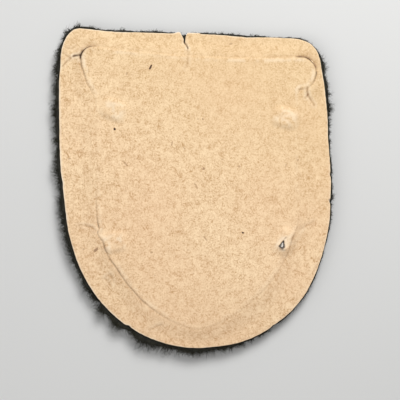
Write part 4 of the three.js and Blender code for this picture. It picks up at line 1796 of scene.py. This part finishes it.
@dataclass
class FoldedProngs:
    """The four prongs, each a strip that rises through the layers and folds over the plate."""

    levels: Levels
    thickness: float = 0.42
    foot_z: float = 1.0
    bend_radius: float = 0.35
    corners: int = 44

    def __post_init__(self) -> None:
        """Work out the tab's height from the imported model."""
        self.tab_z = self.levels.plate_high + 0.03 + self.thickness / 2

    def strip(self, prong: ProngPlace) -> tuple[Array, list[Array], Array]:
        """Carry a rounded rectangle up the leg, round the bend and along the tab.

        The section is a superellipse of power 5; its half width narrows over the last
        millimetre as the square root of what is left.

        Args:
            prong: Where it stands.

        Returns:
            Its points, its faces, and how worn and how grimy each point is.
        """
        r = self.bend_radius
        quarter = np.linspace(0, np.pi / 2, 9)
        leg = np.column_stack([np.zeros(6), np.linspace(self.foot_z, self.tab_z - r, 6)])
        bend = np.column_stack([r * (1 - np.cos(quarter)), self.tab_z - r + r * np.sin(quarter)])
        along = np.linspace(r, prong.length, 60)[1:]
        tab = np.column_stack([along, self.tab_z + prong.lift(along, self.levels.tip_rise)])
        line = np.vstack([leg, bend[1:], tab])
        forward = np.gradient(line, axis=0)
        forward /= np.hypot(*forward.T)[:, None]
        normal = np.column_stack([-forward[:, 1], forward[:, 0]])
        half = prong.half_width(line[:, 0])
        angle = (np.arange(self.corners) + 0.5) * 2 * np.pi / self.corners
        c, s = np.cos(angle), np.sin(angle)
        stretch = (np.abs(c) ** 5 + np.abs(s) ** 5) ** -0.2
        across = half[:, None] * (c * stretch)
        up = self.thickness / 2 * (s * stretch)
        u = line[:, None, 0] + normal[:, None, 0] * up
        z = line[:, None, 1] + normal[:, None, 1] * up
        cos, sin = math.cos(prong.heading), math.sin(prong.heading)
        places = np.stack([prong.x + u * cos - across * sin, prong.y + u * sin + across * cos, z], axis=-1)
        rows, columns = places.shape[:2]
        numbers = np.arange(rows * columns).reshape(rows, columns)
        after = np.roll(numbers, -1, axis=1)
        walls = np.stack([numbers[:-1], after[:-1], after[1:], numbers[1:]], axis=-1).reshape(-1, 4)
        caps = [numbers[:1, ::-1], numbers[-1:, :]]
        tip = smooth((line[:, 0] - prong.length + 0.35) / 0.35)
        rim = (np.abs(c * stretch) > 0.85).astype(float)
        worn = np.clip(tip[:, None] * 0.3 + rim[None, :] * 0.2, 0, 1).ravel()
        places = places.reshape(-1, 3)
        # Painted glint along the tip where it shows through the tear.
        away, _ = path_distance(places[:, :2], np.array(GLINT))
        worn += 0.9 * bell(away / 0.14) * prong.through_card
        # Painted shadow on the tip along the tear's edge.
        away, _ = path_distance(places[:, :2], np.array((*TEAR, TEAR[0])))
        grime = bell(away / 0.16) * prong.through_card
        return places, [walls, *caps], np.column_stack([worn, grime])

    def build(self) -> Piece:
        """Make the four prongs as one piece of closed strips."""
        places, faces, worn = [], [], []
        offset = 0
        for prong in PRONGS:
            points, groups, wear_and_painted_light = self.strip(prong)
            places.append(points)
            faces += [group + offset for group in groups]
            worn.append(wear_and_painted_light)
            offset += len(points)
        piece = Piece.from_faces("folded_prongs", np.vstack(places), faces)
        worn, grime = np.vstack(worn).T
        piece.store(worn=worn, grime=grime)
        piece.keep_edges(40)
        return piece

    def dress(self, piece: Piece) -> None:
        """Give the prongs the shield's metal, smoother than its pebbled field.

        Args:
            piece: The prongs.
        """
        # The bright colour serves both rubbed edges and the painted glint.
        clean, worn = (0.20, 0.195, 0.165), (0.74, 0.67, 0.61)
        metal = StampedMetal("prong_metal", clean=clean, worn=worn, pebble=0.012)
        piece.dress(metal.material(), "shield_metal", "front_shield")


@dataclass
class BackingPlate:
    """The thin plate under the card, kept as modelled in the frame."""

    def dress(self) -> None:
        """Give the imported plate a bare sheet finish."""
        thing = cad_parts["backing_plate"]
        metal = StampedMetal("plate_metal", clean=(0.45, 0.45, 0.43), pebble=0.008).material()
        thing.data.materials.clear()
        thing.data.materials.append(metal)
        LOG.info("backing_plate: finish only")


# ---------------------------------------------------------------- the studio


@dataclass
class Studio:
    """A pale floor, soft light and a camera that looks straight down."""

    centre: tuple[float, float] = (1.47, -2.49)
    view_width: float = 88.0
    lens: float = 100.0
    sensor: float = 36.0
    look_at_z: float = 3.7
    floor_half: float = 900.0
    sky: float = 0.23

    def floor(self) -> None:
        """Lay the floor on which the shield rests."""
        half = self.floor_half
        corners = np.array([[-half, -half, 0], [half, -half, 0], [half, half, 0], [-half, half, 0]])
        piece = Piece.from_faces("floor", corners, [np.array([[0, 1, 2, 3]])])
        piece.thing.data.materials.append(PaleFloor().material())

    def light(self, name: str, place: tuple, size: float, power: float) -> None:
        """Hang one square soft light that faces the shield.

        Args:
            name: Its name.
            place: Where it hangs, in millimetres.
            size: Its side, in millimetres.
            power: Its power in watts.
        """
        data = bpy.data.lights.new(name, "AREA")
        data.shape = "SQUARE"
        data.size = size * MM
        data.energy = power
        lamp = bpy.data.objects.new(name, data)
        lamp.location = Vector(place) * MM
        lamp.rotation_euler = (-lamp.location).to_track_quat("-Z", "Y").to_euler()
        bpy.context.scene.collection.objects.link(lamp)

    def camera(self) -> None:
        """Hang the camera where the view's width fills the frame."""
        data = bpy.data.cameras.new("camera")
        data.lens = self.lens
        data.sensor_width = self.sensor
        data.clip_start = 0.01
        thing = bpy.data.objects.new("camera", data)
        away = self.view_width * self.lens / self.sensor
        thing.location = Vector((*self.centre, self.look_at_z + away)) * MM
        bpy.context.scene.collection.objects.link(thing)
        bpy.context.scene.camera = thing

    def build(self) -> None:
        """Set up floor, lights, sky and camera."""
        self.floor()
        self.light("key", (95, 230, 275), 160, 1.25)
        self.light("fill", (-260, -120, 380), 420, 0.72)
        world = bpy.data.worlds.new("studio")
        world.use_nodes = True
        world.node_tree.nodes["Background"].inputs["Color"].default_value = (1, 1, 1, 1)
        world.node_tree.nodes["Background"].inputs["Strength"].default_value = self.sky
        bpy.context.scene.world = world
        bpy.context.scene.view_settings.view_transform = "Standard"
        self.camera()


def main() -> None:
    """Build every piece in order."""
    logging.basicConfig(level=logging.INFO, format="%(name)s: %(message)s")
    levels = Levels.from_frame()
    Studio().build()

    shield = FrontShield()
    shield.dress(shield.build())
    prongs = FoldedProngs(levels)
    prongs.dress(prongs.build())
    BackingPlate().dress()

    card = CoverCard(levels)
    card.dress(card.build())

    cloth = WoolCloth(levels, card.shape.outline(torn=False))
    slab = cloth.build()
    fringe = WoolFringe(levels, cloth.edge)
    hairs = fringe.build()
    fringe.dress(hairs)
    cloth.dress(slab, hairs)


if __name__ == "__main__":
    main()
